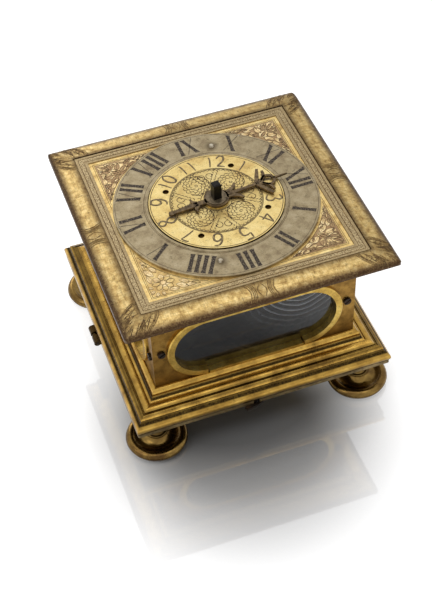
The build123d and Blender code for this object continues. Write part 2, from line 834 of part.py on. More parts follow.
# Dial wheel, under the dial, turned by the pinion of report on the fusee's arbor
dial_wheel_bottom = upper_top + 1.6
with BuildPart() as dial_wheel:
    with BuildSketch(Plane.XY.offset(dial_wheel_bottom)):
        wheel_face(dial_wheel_teeth, report_module, report_heading)
        cross_out(
            field_radius(dial_wheel_teeth, report_module), wheel_arm, centre_arbor_radius + running
        )
    extrude(amount=wheel_thickness)
    with BuildSketch(Plane.XY.offset(upper_top + seat)):
        Circle(4.2)
        Circle(centre_arbor_radius + running, mode=Mode.SUBTRACT)
    extrude(amount=cam_bottom - upper_top - 2 * seat)
dial_wheel.part.label = "dial_wheel"
export_step(dial_wheel.part, "parts/dial_wheel.step")

# Levels of the wheels between the plates
great_wheel_bottom = lower_top + 3.4
fusee_bottom = great_wheel_bottom + wheel_thickness
second_wheel_bottom = upper_bottom - 3.4
crown_level = lower_top + 13.4
contrate_teeth_bottom = crown_level + contrate_module * 1.8
contrate_tooth_height = 1.5
contrate_plate_bottom = contrate_teeth_bottom + contrate_tooth_height
contrate_plate_thickness = 1.0

# Fusee: a brass cone with the line's groove round it, wide end on the great wheel
fusee_turns = 8
fusee_top = upper_bottom - 7.8
fusee_pitch = (fusee_top - fusee_bottom - 2.0) / fusee_turns
fusee_large_radius = 13.0
fusee_small_radius = 7.4
groove_depth = 0.7
fusee_arbor_radius = 2.2
cone_outline = [
    (fusee_arbor_radius, fusee_bottom),
    (fusee_large_radius + 1.0, fusee_bottom),
    (fusee_large_radius + 1.0, fusee_bottom + 1.0),
]
for turn in range(fusee_turns + 1):
    ridge_radius = fusee_large_radius + (fusee_small_radius - fusee_large_radius) * turn / fusee_turns
    ridge_level = fusee_bottom + 1.0 + turn * fusee_pitch
    cone_outline.append((ridge_radius, ridge_level))
    if turn < fusee_turns:
        cone_outline.append((ridge_radius - groove_depth, ridge_level + 0.5 * fusee_pitch))
cone_outline += [
    (fusee_small_radius + 1.6, fusee_top - 1.0),
    (fusee_small_radius + 1.6, fusee_top),
    (fusee_arbor_radius, fusee_top),
]
fusee_cone = turned(cone_outline, fusee_place)
fusee_cone.part.label = "fusee_cone"
export_step(fusee_cone.part, "parts/fusee_cone.step")

with BuildPart() as great_wheel:
    with BuildSketch(at(fusee_place, great_wheel_bottom)):
        wheel_face(wheel_teeth, great_module, great_heading)
        cross_out(field_radius(wheel_teeth, great_module), wheel_arm, fusee_arbor_radius)
    extrude(amount=wheel_thickness)
great_wheel.part.label = "great_wheel"
export_step(great_wheel.part, "parts/great_wheel.step")

# Fusee arbor, with the winding square below and the pinion of report above the upper plate
report_bottom = dial_wheel_bottom - 0.2
winding_square = 3.0
with BuildPart() as fusee_arbor:
    with BuildSketch(at(fusee_place, lower_bottom - 7.0)):
        Rectangle(winding_square, winding_square)
    extrude(amount=6.8)
    with BuildSketch(at(fusee_place, lower_bottom - 0.2)):
        Circle(fusee_arbor_radius)
    extrude(amount=report_bottom - lower_bottom + 0.2)
    with BuildSketch(at(fusee_place, report_bottom)):
        pinion_face(report_leaves, report_module, report_heading + 180)
    extrude(amount=wheel_thickness + 0.4)
fusee_arbor.part.label = "fusee_arbor"
export_step(fusee_arbor.part, "parts/fusee_arbor.step")

# Mainspring barrel, and the two fixed arbors on which it and the alarm barrel turn
barrel_radius = 16.0
barrel_bore_radius = 2.5
alarm_drum_radius = 11.0
mainspring_barrel = turned(
    [
        (barrel_bore_radius + running, fusee_bottom),
        (barrel_radius + 0.8, fusee_bottom),
        (barrel_radius + 0.8, fusee_bottom + 1.2),
        (barrel_radius, fusee_bottom + 1.2),
        (barrel_radius, fusee_top - 1.2),
        (barrel_radius + 0.8, fusee_top - 1.2),
        (barrel_radius + 0.8, fusee_top),
        (barrel_radius - 1.4, fusee_top),
        (barrel_radius - 1.8, fusee_top - 0.4),
        (barrel_bore_radius + 2.5, fusee_top - 0.4),
        (barrel_bore_radius + 2.5, fusee_top + 0.6),
        (barrel_bore_radius + running, fusee_top + 0.6),
    ],
    barrel_place,
)
mainspring_barrel.part.label = "mainspring_barrel"
export_step(mainspring_barrel.part, "parts/mainspring_barrel.step")

with BuildPart() as barrel_arbors:
    with BuildSketch(Plane.XY.offset(lower_bottom - 5.0)):
        with Locations(barrel_place, alarm_place):
            Rectangle(winding_square, winding_square)
    extrude(amount=5.0)
    with BuildSketch(Plane.XY.offset(lower_bottom)):
        with Locations(barrel_place, alarm_place):
            Circle(barrel_bore_radius)
    extrude(amount=upper_bottom - lower_bottom)
    with BuildSketch(Plane.XY.offset(upper_bottom)):
        with Locations(barrel_place, alarm_place):
            Circle(pivot_radius)
    extrude(amount=plate_thickness)
barrel_arbors.part.label = "barrel_arbors"
export_step(barrel_arbors.part, "parts/barrel_arbors.step")

# Gut line from barrel to fusee: a part turn on each and the straight run between, in front
line_radius = 0.4
line_turn = 5
line_level = fusee_bottom + 1.0 + (line_turn + 0.5) * fusee_pitch
line_fusee_radius = (
    fusee_large_radius
    + (fusee_small_radius - fusee_large_radius) * line_turn / fusee_turns
    + line_radius
    + free
)
line_barrel_radius = barrel_radius + line_radius + free
line_wrap = 60.0
line_span = hypot(fusee_place[0] - barrel_place[0], fusee_place[1] - barrel_place[1])
line_lean = degrees(
    atan2(fusee_place[1] - barrel_place[1], fusee_place[0] - barrel_place[0])
) + degrees(asin((line_barrel_radius - line_fusee_radius) / line_span))
tangent_heading = line_lean - 90
with BuildPart() as fusee_line:
    with BuildLine(Plane.XY.offset(line_level)) as line_route:
        on_barrel = CenterArc(
            barrel_place, line_barrel_radius, tangent_heading - line_wrap, line_wrap
        )
        Line(
            step_from(barrel_place, line_barrel_radius, tangent_heading),
            step_from(fusee_place, line_fusee_radius, tangent_heading),
        )
        CenterArc(fusee_place, line_fusee_radius, tangent_heading, line_wrap)
    with BuildSketch(Plane(origin=on_barrel @ 0, z_dir=on_barrel % 0)):
        Circle(line_radius)
    sweep(path=line_route.wires()[0])
fusee_line.part.label = "fusee_line"
export_step(fusee_line.part, "parts/fusee_line.step")

# Second wheel and its arbor, whose pinion the great wheel turns
with BuildPart() as second_wheel:
    with BuildSketch(at(second_place, second_wheel_bottom)):
        wheel_face(wheel_teeth, second_module, second_heading)
        cross_out(field_radius(wheel_teeth, second_module), small_arm, arbor_radius)
    extrude(amount=wheel_thickness)
second_wheel.part.label = "second_wheel"
export_step(second_wheel.part, "parts/second_wheel.step")


def wheel_arbor(place, pinion_bottom, pinion_length, module, meets_at):
    """A steel arbor between the plates, with its pinion cut from the solid."""
    with BuildPart() as arbor:
        with BuildSketch(at(place, lower_bottom)):
            Circle(pivot_radius)
        extrude(amount=upper_top - lower_bottom)
        with BuildSketch(at(place, lower_top + seat)):
            Circle(arbor_radius)
        extrude(amount=pillar_length - 2 * seat)
        with BuildSketch(at(place, pinion_bottom)):
            Circle(module * (pinion_leaves / 2 + 0.8) + 0.1)
        extrude(amount=pinion_length, mode=Mode.SUBTRACT)
        with BuildSketch(at(place, pinion_bottom)):
            pinion_face(pinion_leaves, module, meets_at)
        extrude(amount=pinion_length)
    return arbor


second_arbor = wheel_arbor(
    second_place, great_wheel_bottom - 0.8, wheel_thickness + 1.6, great_module, great_heading + 180
)
second_arbor.part.label = "second_arbor"
export_step(second_arbor.part, "parts/second_arbor.step")

contrate_arbor = wheel_arbor(
    contrate_place,
    second_wheel_bottom - 0.6,
    wheel_thickness + 1.2,
    second_module,
    second_heading + 180,
)
contrate_arbor.part.label = "contrate_arbor"
export_step(contrate_arbor.part, "parts/contrate_arbor.step")

# Contrate wheel: its teeth stand down from the rim and turn the crown wheel's pinion
contrate_radius = contrate_module * wheel_teeth / 2
contrate_wall = 1.2
with BuildPart() as contrate_wheel:
    with BuildSketch(at(contrate_place, contrate_plate_bottom)):
        Circle(contrate_radius + contrate_wall / 2)
        cross_out(contrate_radius - wheel_rim + 0.4, small_arm, arbor_radius)
    extrude(amount=contrate_plate_thickness)
    with BuildSketch(at(contrate_place, contrate_teeth_bottom)):
        Circle(contrate_radius + contrate_wall / 2)
        Circle(contrate_radius - contrate_wall / 2, mode=Mode.SUBTRACT)
        with PolarLocations(contrate_radius, wheel_teeth, start_angle=180 / wheel_teeth):
            Rectangle(3 * contrate_wall, contrate_module * 1.85, mode=Mode.SUBTRACT)
    extrude(amount=contrate_tooth_height)
contrate_wheel.part.label = "contrate_wheel"
export_step(contrate_wheel.part, "parts/contrate_wheel.step")

# Crown wheel on its level arbor: fifteen raked teeth face the verge
crown_teeth = 15
crown_radius = 8.0
crown_wall = 0.8
crown_tooth_height = 2.4
crown_plate_thickness = 0.9
crown_pinion_centre = contrate_place[0] - contrate_radius
crown_wheel_x = crown_pinion_centre - 7.0
crown_pivot_radius = 0.8
bracket_thickness = 1.4
bracket_left = crown_wheel_x + 1.6
bracket_right = crown_pinion_centre + 2.6
crown_axis = Axis((0, contrate_place[1], crown_level), (1, 0, 0))


def across(x):
    """Upright plane square to the crown wheel's arbor. Its first direction is up."""
    return Plane(origin=(x, contrate_place[1], crown_level), x_dir=(0, 0, 1), z_dir=(1, 0, 0))


with BuildPart() as crown_wheel:
    with BuildSketch(across(crown_wheel_x)):
        Circle(crown_radius)
        cross_out(crown_radius - 2 * crown_wall, small_arm - 0.4, 0.1)
        Circle(1.0)
    extrude(amount=-crown_plate_thickness)
    with BuildSketch(across(crown_wheel_x - crown_plate_thickness)):
        Circle(crown_radius)
        Circle(crown_radius - crown_wall, mode=Mode.SUBTRACT)
    extrude(amount=-crown_tooth_height)
    for tooth in range(crown_teeth):
        heading = radians(tooth * 360 / crown_teeth)
        outward = Vector(0, -sin(heading), cos(heading))
        along = Vector(0, cos(heading), sin(heading))
        gap_plane = Plane(
            origin=Vector(crown_wheel_x - crown_plate_thickness, contrate_place[1], crown_level)
            + outward * (crown_radius - 2 * crown_wall),
            x_dir=along,
            z_dir=outward,
        )
        with BuildSketch(gap_plane):
            with BuildLine():
                Polyline(
                    (-1.2, -crown_tooth_height - 0.1),
                    (1.2, -crown_tooth_height - 0.1),
                    (0.9, -0.4),
                    close=True,
                )
            make_face()
        extrude(amount=3 * crown_wall, mode=Mode.SUBTRACT)
    with BuildSketch(across(crown_wheel_x)):
        Circle(crown_pivot_radius)
    extrude(amount=bracket_right + bracket_thickness - crown_wheel_x)
    with BuildSketch(across(crown_pinion_centre - 1.8)):
        pinion_face(pinion_leaves, contrate_module, 0)
    extrude(amount=3.6)
crown_wheel.part.label = "crown_wheel"
export_step(crown_wheel.part, "parts/crown_wheel.step")

# Bracket on the lower plate that carries the crown wheel's arbor in two cheeks
bracket_width = 6.0
with BuildPart() as crown_bracket:
    with BuildSketch(
        Plane(origin=(0, contrate_place[1], lower_top), x_dir=(1, 0, 0), z_dir=(0, -1, 0))
    ):
        with BuildLine():
            cheek_top = crown_level + 1.9 - lower_top
            Polyline(
                (bracket_left, 0),
                (bracket_left, cheek_top),
                (bracket_left + bracket_thickness, cheek_top),
                (bracket_left + bracket_thickness, 2.0),
                (bracket_right, 2.0),
                (bracket_right, cheek_top),
                (bracket_right + bracket_thickness, cheek_top),
                (bracket_right + bracket_thickness, 0),
                close=True,
            )
        make_face()
    extrude(amount=bracket_width / 2, both=True)
    with BuildSketch(across(bracket_left)):
        Circle(crown_pivot_radius + running)
    extrude(amount=bracket_right + bracket_thickness - bracket_left, mode=Mode.SUBTRACT)
crown_bracket.part.label = "crown_bracket"
export_step(crown_bracket.part, "parts/crown_bracket.step")

# Verge: an upright staff with two flags, top and bottom of the crown wheel
flag_reach = 1.9
crown_tip_x = crown_wheel_x - crown_plate_thickness - crown_tooth_height
verge_place = (crown_tip_x - flag_reach - free, contrate_place[1])
balance_top = lower_bottom - 3.2
balance_thickness = 1.4
cock_top = balance_top - balance_thickness - 1.6
cock_thickness = 1.8
verge_radius = 0.8
staff_foot_radius = 0.5
with BuildPart() as verge_staff:
    with BuildSketch(at(verge_place, cock_top - cock_thickness)):
        Circle(staff_foot_radius)
    extrude(amount=cock_thickness + seat)
    with BuildSketch(at(verge_place, cock_top + seat)):
        Circle(verge_radius)
    extrude(amount=upper_top - cock_top - seat)
    for side, lean in ((-1, 45), (1, -45)):
        flag_bottom = crown_level + side * (crown_radius - crown_wall / 2) - 1.6
        with BuildSketch(at(verge_place, flag_bottom)):
            Rectangle(flag_reach, 0.5, rotation=lean, align=(Align.MIN, Align.CENTER))
        extrude(amount=3.2)
verge_staff.part.label = "verge_staff"
export_step(verge_staff.part, "parts/verge_staff.step")

# Balance: a plain ring with one arm, under the lower plate
balance_radius = 14.5
balance_rim = 1.8
with BuildPart() as balance_wheel:
    with BuildSketch(at(verge_place, balance_top - balance_thickness)):
        Circle(balance_radius)
        Circle(balance_radius - balance_rim, mode=Mode.SUBTRACT)
        Rectangle(2 * balance_radius - balance_rim, 2.2)
        Circle(2.6)
        Circle(verge_radius, mode=Mode.SUBTRACT)
    extrude(amount=balance_thickness)
balance_wheel.part.label = "balance_wheel"
export_step(balance_wheel.part, "parts/balance_wheel.step")

# Balance cock: a bridge from a foot beside the balance to the staff's lower pivot
cock_heading = 118.0
cock_reach = balance_radius + 5.0
cock_foot_place = step_from(verge_place, cock_reach, cock_heading)
cock_plane = at(verge_place, cock_top).rotated((0, 0, cock_heading))
with BuildPart() as balance_cock:
    with BuildSketch(cock_plane):
        Circle(4.2)
        with Locations((cock_reach, 0)):
            Circle(4.0)
        Rectangle(cock_reach, 5.0, align=(Align.MIN, Align.CENTER))
    extrude(amount=-cock_thickness)
    with BuildSketch(cock_plane):
        with Locations((cock_reach, 0)):
            Circle(4.0)
    extrude(amount=lower_bottom - cock_top)
    with BuildSketch(cock_plane):
        Circle(staff_foot_radius + running)
    extrude(amount=-cock_thickness, mode=Mode.SUBTRACT)
balance_cock.part.label = "balance_cock"
export_step(balance_cock.part, "parts/balance_cock.step")

# Alarm barrel with its great wheel, and the escape wheel that it turns
alarm_wheel_bottom = great_wheel_bottom
with BuildPart() as alarm_barrel:
    with BuildSketch(at(alarm_place, alarm_wheel_bottom)):
        wheel_face(alarm_teeth, alarm_module, alarm_heading)
        Circle(barrel_bore_radius + running, mode=Mode.SUBTRACT)
    extrude(amount=wheel_thickness)
    with BuildSketch(at(alarm_place, alarm_wheel_bottom + wheel_thickness)):
        Circle(alarm_drum_radius)
        Circle(barrel_bore_radius + running, mode=Mode.SUBTRACT)
    extrude(amount=fusee_top - alarm_wheel_bottom - wheel_thickness)
alarm_barrel.part.label = "alarm_barrel"
export_step(alarm_barrel.part, "parts/alarm_barrel.step")

escape_teeth = 12
escape_tip_radius = 7.6
escape_level = fusee_top + 2.0
with BuildPart() as alarm_escape_wheel:
    with BuildSketch(at(alarm_escape_place, lower_bottom)):
        Circle(pivot_radius)
    extrude(amount=upper_top - lower_bottom)
    with BuildSketch(at(alarm_escape_place, lower_top + seat)):
        Circle(arbor_radius)
    extrude(amount=pillar_length - 2 * seat)
    with BuildSketch(at(alarm_escape_place, alarm_wheel_bottom - 0.8)):
        pinion_face(alarm_leaves, alarm_module, alarm_heading + 180)
    extrude(amount=wheel_thickness + 1.6)
    with BuildSketch(at(alarm_escape_place, escape_level)):
        toothed_face(escape_teeth, escape_tip_radius - 2.0, escape_tip_radius, 0.8, 0.12, 0)
        Circle(arbor_radius - 0.1, mode=Mode.SUBTRACT)
    extrude(amount=1.2)
alarm_escape_wheel.part.label = "alarm_escape_wheel"
export_step(alarm_escape_wheel.part, "parts/alarm_escape_wheel.step")

# Bell: a shallow cup, mouth down, hung in the base on a post from the lower plate
bell_place = (8.0, -14.0)
bell_radius = 33.0
bell_wall = 1.5
bell_bottom = plate_top + 2.0
bell_height = 12.5
bell_crown = bell_bottom + bell_height
bell_hole_radius = 1.6
with BuildPart() as bell:
    with BuildSketch(upright(bell_place)):
        with BuildLine():
            outer = ThreePointArc(
                (bell_radius, bell_bottom),
                (bell_radius - 4.5, bell_bottom + 8.6),
                (bell_radius - 14.0, bell_crown),
            )
            crown = Polyline(
                outer @ 1,
                (bell_hole_radius, bell_crown),
                (bell_hole_radius, bell_crown - bell_wall),
                (bell_radius - 14.0 - 0.4, bell_crown - bell_wall),
            )
            inner = ThreePointArc(
                crown @ 1,
                (bell_radius - 4.5 - 1.2, bell_bottom + 8.6 - 1.0),
                (bell_radius - bell_wall, bell_bottom),
            )
            Line(inner @ 1, outer @ 0)
        make_face()
    revolve(axis=Axis((bell_place[0], bell_place[1], 0), (0, 0, 1)))
bell.part.label = "bell"
export_step(bell.part, "parts/bell.step")

bell_post = turned(
    [
        (0, bell_crown - bell_wall - 2.0),
        (3.0, bell_crown - bell_wall - 2.0),
        (3.0, bell_crown - bell_wall),
        (bell_hole_radius, bell_crown - bell_wall),
        (bell_hole_radius, bell_crown),
        (2.6, bell_crown),
        (2.6, lower_bottom),
        (0, lower_bottom),
    ],
    bell_place,
)
bell_post.part.label = "bell_post"
export_step(bell_post.part, "parts/bell_post.step")

# Alarm hammer: an upright arbor with two pallets at the escape wheel and an arm to the bell
hammer_place = step_from(alarm_escape_place, escape_tip_radius + 3.4, 200.0)
hammer_radius = 2.5
strike_radius = bell_radius + hammer_radius + 0.4
hammer_span = hypot(bell_place[0] - hammer_place[0], bell_place[1] - hammer_place[1])
hammer_reach = sqrt(hammer_span**2 - strike_radius**2)
hammer_heading = degrees(
    atan2(bell_place[1] - hammer_place[1], bell_place[0] - hammer_place[0])
) - degrees(acos(hammer_reach / hammer_span))
hammer_level = bell_bottom + 0.4
with BuildPart() as alarm_hammer:
    with BuildSketch(at(hammer_place, lower_bottom)):
        Circle(pivot_radius)
    extrude(amount=upper_top - lower_bottom)
    with BuildSketch(at(hammer_place, lower_top + seat)):
        Circle(arbor_radius)
    extrude(amount=pillar_length - 2 * seat)
    with BuildSketch(at(hammer_place, hammer_level)):
        Circle(pivot_radius)
    extrude(amount=lower_bottom - hammer_level)
    with BuildSketch(at(hammer_place, escape_level)):
        for lean in (-25, 65):
            Rectangle(3.0, 0.8, rotation=lean, align=(Align.MIN, Align.CENTER))
    extrude(amount=1.2)
    arm_plane = at(hammer_place, hammer_level).rotated((0, 0, hammer_heading))
    with BuildSketch(arm_plane):
        Circle(2.4)
        Rectangle(hammer_reach, 1.6, align=(Align.MIN, Align.CENTER))
        with Locations((hammer_reach, 0)):
            Circle(hammer_radius)
    extrude(amount=2.4)
alarm_hammer.part.label = "alarm_hammer"
export_step(alarm_hammer.part, "parts/alarm_hammer.step")

# Movement plates, with a pivot hole for every arbor that crosses them
pillar_place = 37.5
pillar_rivet_radius = 1.4
both_plates_holes = [
    (second_place, pivot_radius + running),
    (contrate_place, pivot_radius + running),
    (alarm_escape_place, pivot_radius + running),
    (hammer_place, pivot_radius + running),
    (fusee_place, fusee_arbor_radius + running),
]
for place in corners_at(pillar_place):
    both_plates_holes.append((place, pillar_rivet_radius))
lower_holes = both_plates_holes + [
    (verge_place, verge_radius + 0.6),
    (barrel_place, barrel_bore_radius),
    (alarm_place, barrel_bore_radius),
]
upper_holes = both_plates_holes + [
    (verge_place, verge_radius + running),
    (barrel_place, pivot_radius),
    (alarm_place, pivot_radius),
    (centre, pivot_radius + running),
]
for place in corners_at(dial_foot_place):
    upper_holes.append((place, dial_foot_radius - 0.7))

with BuildPart() as lower_plate:
    with BuildSketch(Plane.XY.offset(lower_bottom)):
        RectangleRounded(plate_width, plate_width, 3.0)
        for place, radius in lower_holes:
            with Locations(place):
                Circle(radius, mode=Mode.SUBTRACT)
    extrude(amount=plate_thickness)
lower_plate.part.label = "lower_plate"
export_step(lower_plate.part, "parts/lower_plate.step")

with BuildPart() as upper_plate:
    with BuildSketch(Plane.XY.offset(upper_bottom)):
        RectangleRounded(plate_width, plate_width, 3.0)
        for place, radius in upper_holes:
            with Locations(place):
                Circle(radius, mode=Mode.SUBTRACT)
    extrude(amount=plate_thickness)
upper_plate.part.label = "upper_plate"
export_step(upper_plate.part, "parts/upper_plate.step")

# Turned pillars that hold the plates apart, riveted below and pinned above
pin_stub = 1.6
with BuildPart() as movement_pillars:
    for place in corners_at(pillar_place):
        with BuildSketch(upright(place)):
            with BuildLine():
                Polyline(
                    (0, lower_bottom),
                    (pillar_rivet_radius, lower_bottom),
                    (pillar_rivet_radius, lower_top),
                    (3.0, lower_top),
                    (3.0, lower_top + 1.2),
                    (1.9, lower_top + 2.6),
                    (1.9, lower_top + 0.5 * pillar_length - 2.0),
                    (2.7, lower_top + 0.5 * pillar_length),
                    (1.9, lower_top + 0.5 * pillar_length + 2.0),
                    (1.9, upper_bottom - 2.6),
                    (3.0, upper_bottom - 1.2),
                    (3.0, upper_bottom),
                    (pillar_rivet_radius, upper_bottom),
                    (pillar_rivet_radius, upper_top + pin_stub),
                    (0, upper_top + pin_stub),
                    close=True,
                )
            make_face()
        revolve(axis=Axis((place[0], place[1], 0), (0, 0, 1)))
        with BuildSketch(Plane(origin=(place[0], place[1], upper_top + 0.5), z_dir=(1, 0, 0))):
            Circle(0.5)
        extrude(amount=2.0, both=True, mode=Mode.SUBTRACT)
movement_pillars.part.label = "movement_pillars"
export_step(movement_pillars.part, "parts/movement_pillars.step")

# Steel pins through the pillars, bearing on the upper plate
with BuildPart() as pillar_pins:
    for place in corners_at(pillar_place):
        with BuildSketch(Plane(origin=(place[0], place[1], upper_top + 0.5), z_dir=(1, 0, 0))):
            Circle(0.5)
        extrude(amount=3.0, both=True)
pillar_pins.part.label = "pillar_pins"
export_step(pillar_pins.part, "parts/pillar_pins.step")
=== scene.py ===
import math

import bpy
from mathutils import Matrix, Vector


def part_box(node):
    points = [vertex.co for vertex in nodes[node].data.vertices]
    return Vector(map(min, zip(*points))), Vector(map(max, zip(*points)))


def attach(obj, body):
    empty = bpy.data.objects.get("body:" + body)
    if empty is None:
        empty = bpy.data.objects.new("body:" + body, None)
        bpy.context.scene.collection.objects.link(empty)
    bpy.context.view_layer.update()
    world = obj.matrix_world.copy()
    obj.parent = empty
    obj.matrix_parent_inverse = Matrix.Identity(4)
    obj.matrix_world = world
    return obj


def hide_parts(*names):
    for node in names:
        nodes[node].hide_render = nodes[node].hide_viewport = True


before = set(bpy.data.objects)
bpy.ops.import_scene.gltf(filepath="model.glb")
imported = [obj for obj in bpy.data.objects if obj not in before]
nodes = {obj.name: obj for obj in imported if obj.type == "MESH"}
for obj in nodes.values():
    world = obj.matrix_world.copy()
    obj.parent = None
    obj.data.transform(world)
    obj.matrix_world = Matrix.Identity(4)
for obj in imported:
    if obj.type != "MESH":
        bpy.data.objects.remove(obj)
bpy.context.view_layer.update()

mm = 0.001


# Feet: four turned brass saucers on ringed necks. The metal is bare brass that has gone brown in the
# hollows and stays yellow on the rims, where hands and cloths have rubbed it. The leaves of the hinge
# are of the same brass.
def tone(code):
    """A colour written as on screen, turned to the light values that a shader wants."""
    parts = [int(code[i:i + 2], 16) / 255 for i in (1, 3, 5)]
    return tuple(c / 12.92 if c <= 0.04045 else ((c + 0.055) / 1.055) ** 2.4 for c in parts) + (1.0,)


def add(tree, kind, settings):
    """Adds a node with its settings and colour stops. A socket given for an input feeds it."""
    node = tree.nodes.new(kind)
    for name, value in settings.items():
        if name == "stops":
            band = node.color_ramp.elements
            band[0].position, band[1].position = value[0][0], value[-1][0]
            for place, _ in value[1:-1]:
                band.new(place)
            for stop, (_, shade) in zip(band, value):
                stop.color = tone(shade) if isinstance(shade, str) else (shade, shade, shade, 1.0)
        elif isinstance(value, bpy.types.NodeSocket):
            tree.links.new(value, node.inputs[name])
        elif isinstance(name, str) and hasattr(node, name):
            setattr(node, name, value)
        else:
            node.inputs[name].default_value = value
    return node


def maths(tree, operation, *terms):
    """The result of an operation on numbers and sockets."""
    return add(tree, "ShaderNodeMath", {"operation": operation, **dict(enumerate(terms))}).outputs[0]


def noise(tree, place, scale, detail, roughness=0.5):
    """Cloudy noise from 0 to 1, its scale in clouds to a metre."""
    return add(tree, "ShaderNodeTexNoise", {"Scale": scale, "Detail": detail, "Roughness": roughness,
                                            "Vector": place}).outputs["Fac"]


def ramp(tree, source, stops):
    """Colours or greys that follow the value of a socket."""
    return add(tree, "ShaderNodeValToRGB", {"stops": stops, "Fac": source}).outputs["Color"]


def spread(tree, source, low, high, to_low=0.0, to_high=1.0, fall="LINEAR"):
    """A socket's values between low and high, laid on another range and cut off at its ends."""
    return add(tree, "ShaderNodeMapRange", {"interpolation_type": fall, "From Min": low, "From Max": high,
                                            "To Min": to_low, "To Max": to_high,
                                            "Value": source}).outputs[0]


def blend(tree, share, under, over, kind="MIX"):
    """One colour laid over another, by a share."""
    return add(tree, "ShaderNodeMix", {"data_type": "RGBA", "blend_type": kind, 0: share, 6: under,
                                       7: over}).outputs[2]


def gap_to(tree, place, spot):
    """How far a place is from a spot, in metres."""
    return add(tree, "ShaderNodeVectorMath", {"operation": "DISTANCE", 0: place, 1: spot}).outputs["Value"]


def height_of(tree, place):
    """The height above the table, from the place on the piece."""
    return add(tree, "ShaderNodeSeparateXYZ", {0: place}).outputs["Z"]


def finish(name, metallic, roughness):
    """A new material: its tree, its main shader and the place on the piece, in metres."""
    material = bpy.data.materials.new(name)
    material.use_nodes = True
    tree = material.node_tree
    shader = tree.nodes["Principled BSDF"]
    shader.inputs["Metallic"].default_value = metallic
    shader.inputs["Roughness"].default_value = roughness
    place = add(tree, "ShaderNodeTexCoord", {}).outputs["Object"]
    return material, tree, shader, place


stain_size, pit_depth = 2.4 * mm, 0.2 * mm


def patina(tree, shader, place, colours, blotch, grain, rough, relief, dirt_and_shade=None):
    """Old brass: clouded from bright to tarnished, freckled, stained, pitted, darkened by dirt and painted
    shade.
    """
    cloud = noise(tree, place, 1 / (blotch * mm), 6.0, 0.62)
    shade = ramp(tree, cloud, list(zip((0.3, 0.5, 0.68), colours)))
    freckle = noise(tree, place, 1 / (grain * mm), 4.0, 0.7)
    freckles = ramp(tree, freckle, [(0.33, 0.55), (0.5, 1.0), (0.8, 1.12)])
    shade = blend(tree, 0.75, shade, freckles, "MULTIPLY")
    stain = noise(tree, place, 1 / stain_size, 5.0, 0.75)
    stains = ramp(tree, stain, [(0.34, 0.5), (0.42, 1.0), (0.7, 1.05)])
    shade = blend(tree, 0.8, shade, stains, "MULTIPLY")
    # The mask is dirt at some callers and painted shade at others.
    if dirt_and_shade:
        ragged = add(tree, "ShaderNodeMath", {"operation": "MULTIPLY_ADD", "use_clamp": True,
                                              0: maths(tree, "SUBTRACT", freckle, 0.5), 1: 0.9, 2: dirt_and_shade})
        shade = blend(tree, ragged.outputs[0], shade, tone(colours[3]))
    tree.links.new(shade, shader.inputs["Base Color"])
    tree.links.new(spread(tree, cloud, 0.3, 0.7, *rough), shader.inputs["Roughness"])
    pits = add(tree, "ShaderNodeBump", {"Strength": relief, "Distance": pit_depth, "Height": freckle})
    tree.links.new(pits.outputs[0], shader.inputs["Normal"])
    return shade


def dress(names, material):
    """Gives finished metal to the solid pieces of these names."""
    for name in names:
        for held in nodes[name].material_slots:
            held.material = material


foot_height = 20.5 * mm
aged_brass, tree, shader, place = finish("aged turned brass", 1.0, 0.34)
share = maths(tree, "MULTIPLY", height_of(tree, place), 1 / foot_height)
hollows = ramp(tree, share, [(0.0, 0.9), (0.12, 0.4), (0.3, 0.12), (0.42, 0.6), (0.55, 0.35), (1.0, 0.75)])
patina(tree, shader, place, ("#a08348", "#806536", "#5c4426", "#1a130a"), 8, 0.8, (0.16, 0.3), 0.25,
       hollows)
dress(["foot_front_left", "foot_front_right", "foot_back_left", "foot_back_right", "plate_hinge_leaf",
       "case_hinge_leaf"], aged_brass)


# Base plate: rolled brass sheet, greyed by handling, with its edge almost colourless. The nuts of the
# feet, the hinge's pin, the latch and the screws are iron, black from old oil and rust.
plate_brass, tree, shader, place = finish("greyed sheet brass", 1.0, 0.42)
patina(tree, shader, place, ("#a08c64", "#7c6a48", "#584a32", "#2d251a"), 14, 1.2, (0.36, 0.5), 0.2)
dress(["base_plate"], plate_brass)

black_iron, tree, shader, place = finish("blackened iron", 0.75, 0.48)
patina(tree, shader, place, ("#332a22", "#241d18", "#45301f", "#120f0d"), 3, 0.4, (0.38, 0.6), 0.4)
dress(["foot_nuts", "hinge_pin", "latch_hook", "latch_screw", "latch_pin", "wall_screws"], black_iron)


# Base moulding: cast and filed brass, gilt, run round the case and mitred. Its raised members are
# rubbed yellow and its hollows hold olive and brown dirt; its bottom edge is darkened with painted
# shade, so the tone follows the height.
base_bottom, base_top = (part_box("base_moulding")[i][2] for i in (0, 1))
base_gilt, tree, shader, place = finish("rubbed gilt moulding", 1.0, 0.36)
rise = spread(tree, height_of(tree, place), base_bottom, base_top)
# Dirt in the hollows, and painted shade at the bottom edge, where the first stops are darkest.
dirt_and_painted_shade = ramp(tree, rise, [(0.0, 1.0), (0.05, 0.45), (0.15, 0.2), (0.31, 0.15), (0.34, 1.0), (0.45, 0.7),
                          (0.47, 0.0), (0.52, 0.75), (0.58, 0.35), (0.64, 0.0), (0.67, 1.0), (0.72, 0.9),
                          (0.8, 0.3), (0.86, 0.0), (1.0, 0.1)])
patina(tree, shader, place, ("#d0aa56", "#b28c42", "#866630", "#1e150a"), 9, 0.7, (0.16, 0.3), 0.25,
       dirt_and_painted_shade)
dress(["base_moulding"], base_gilt)
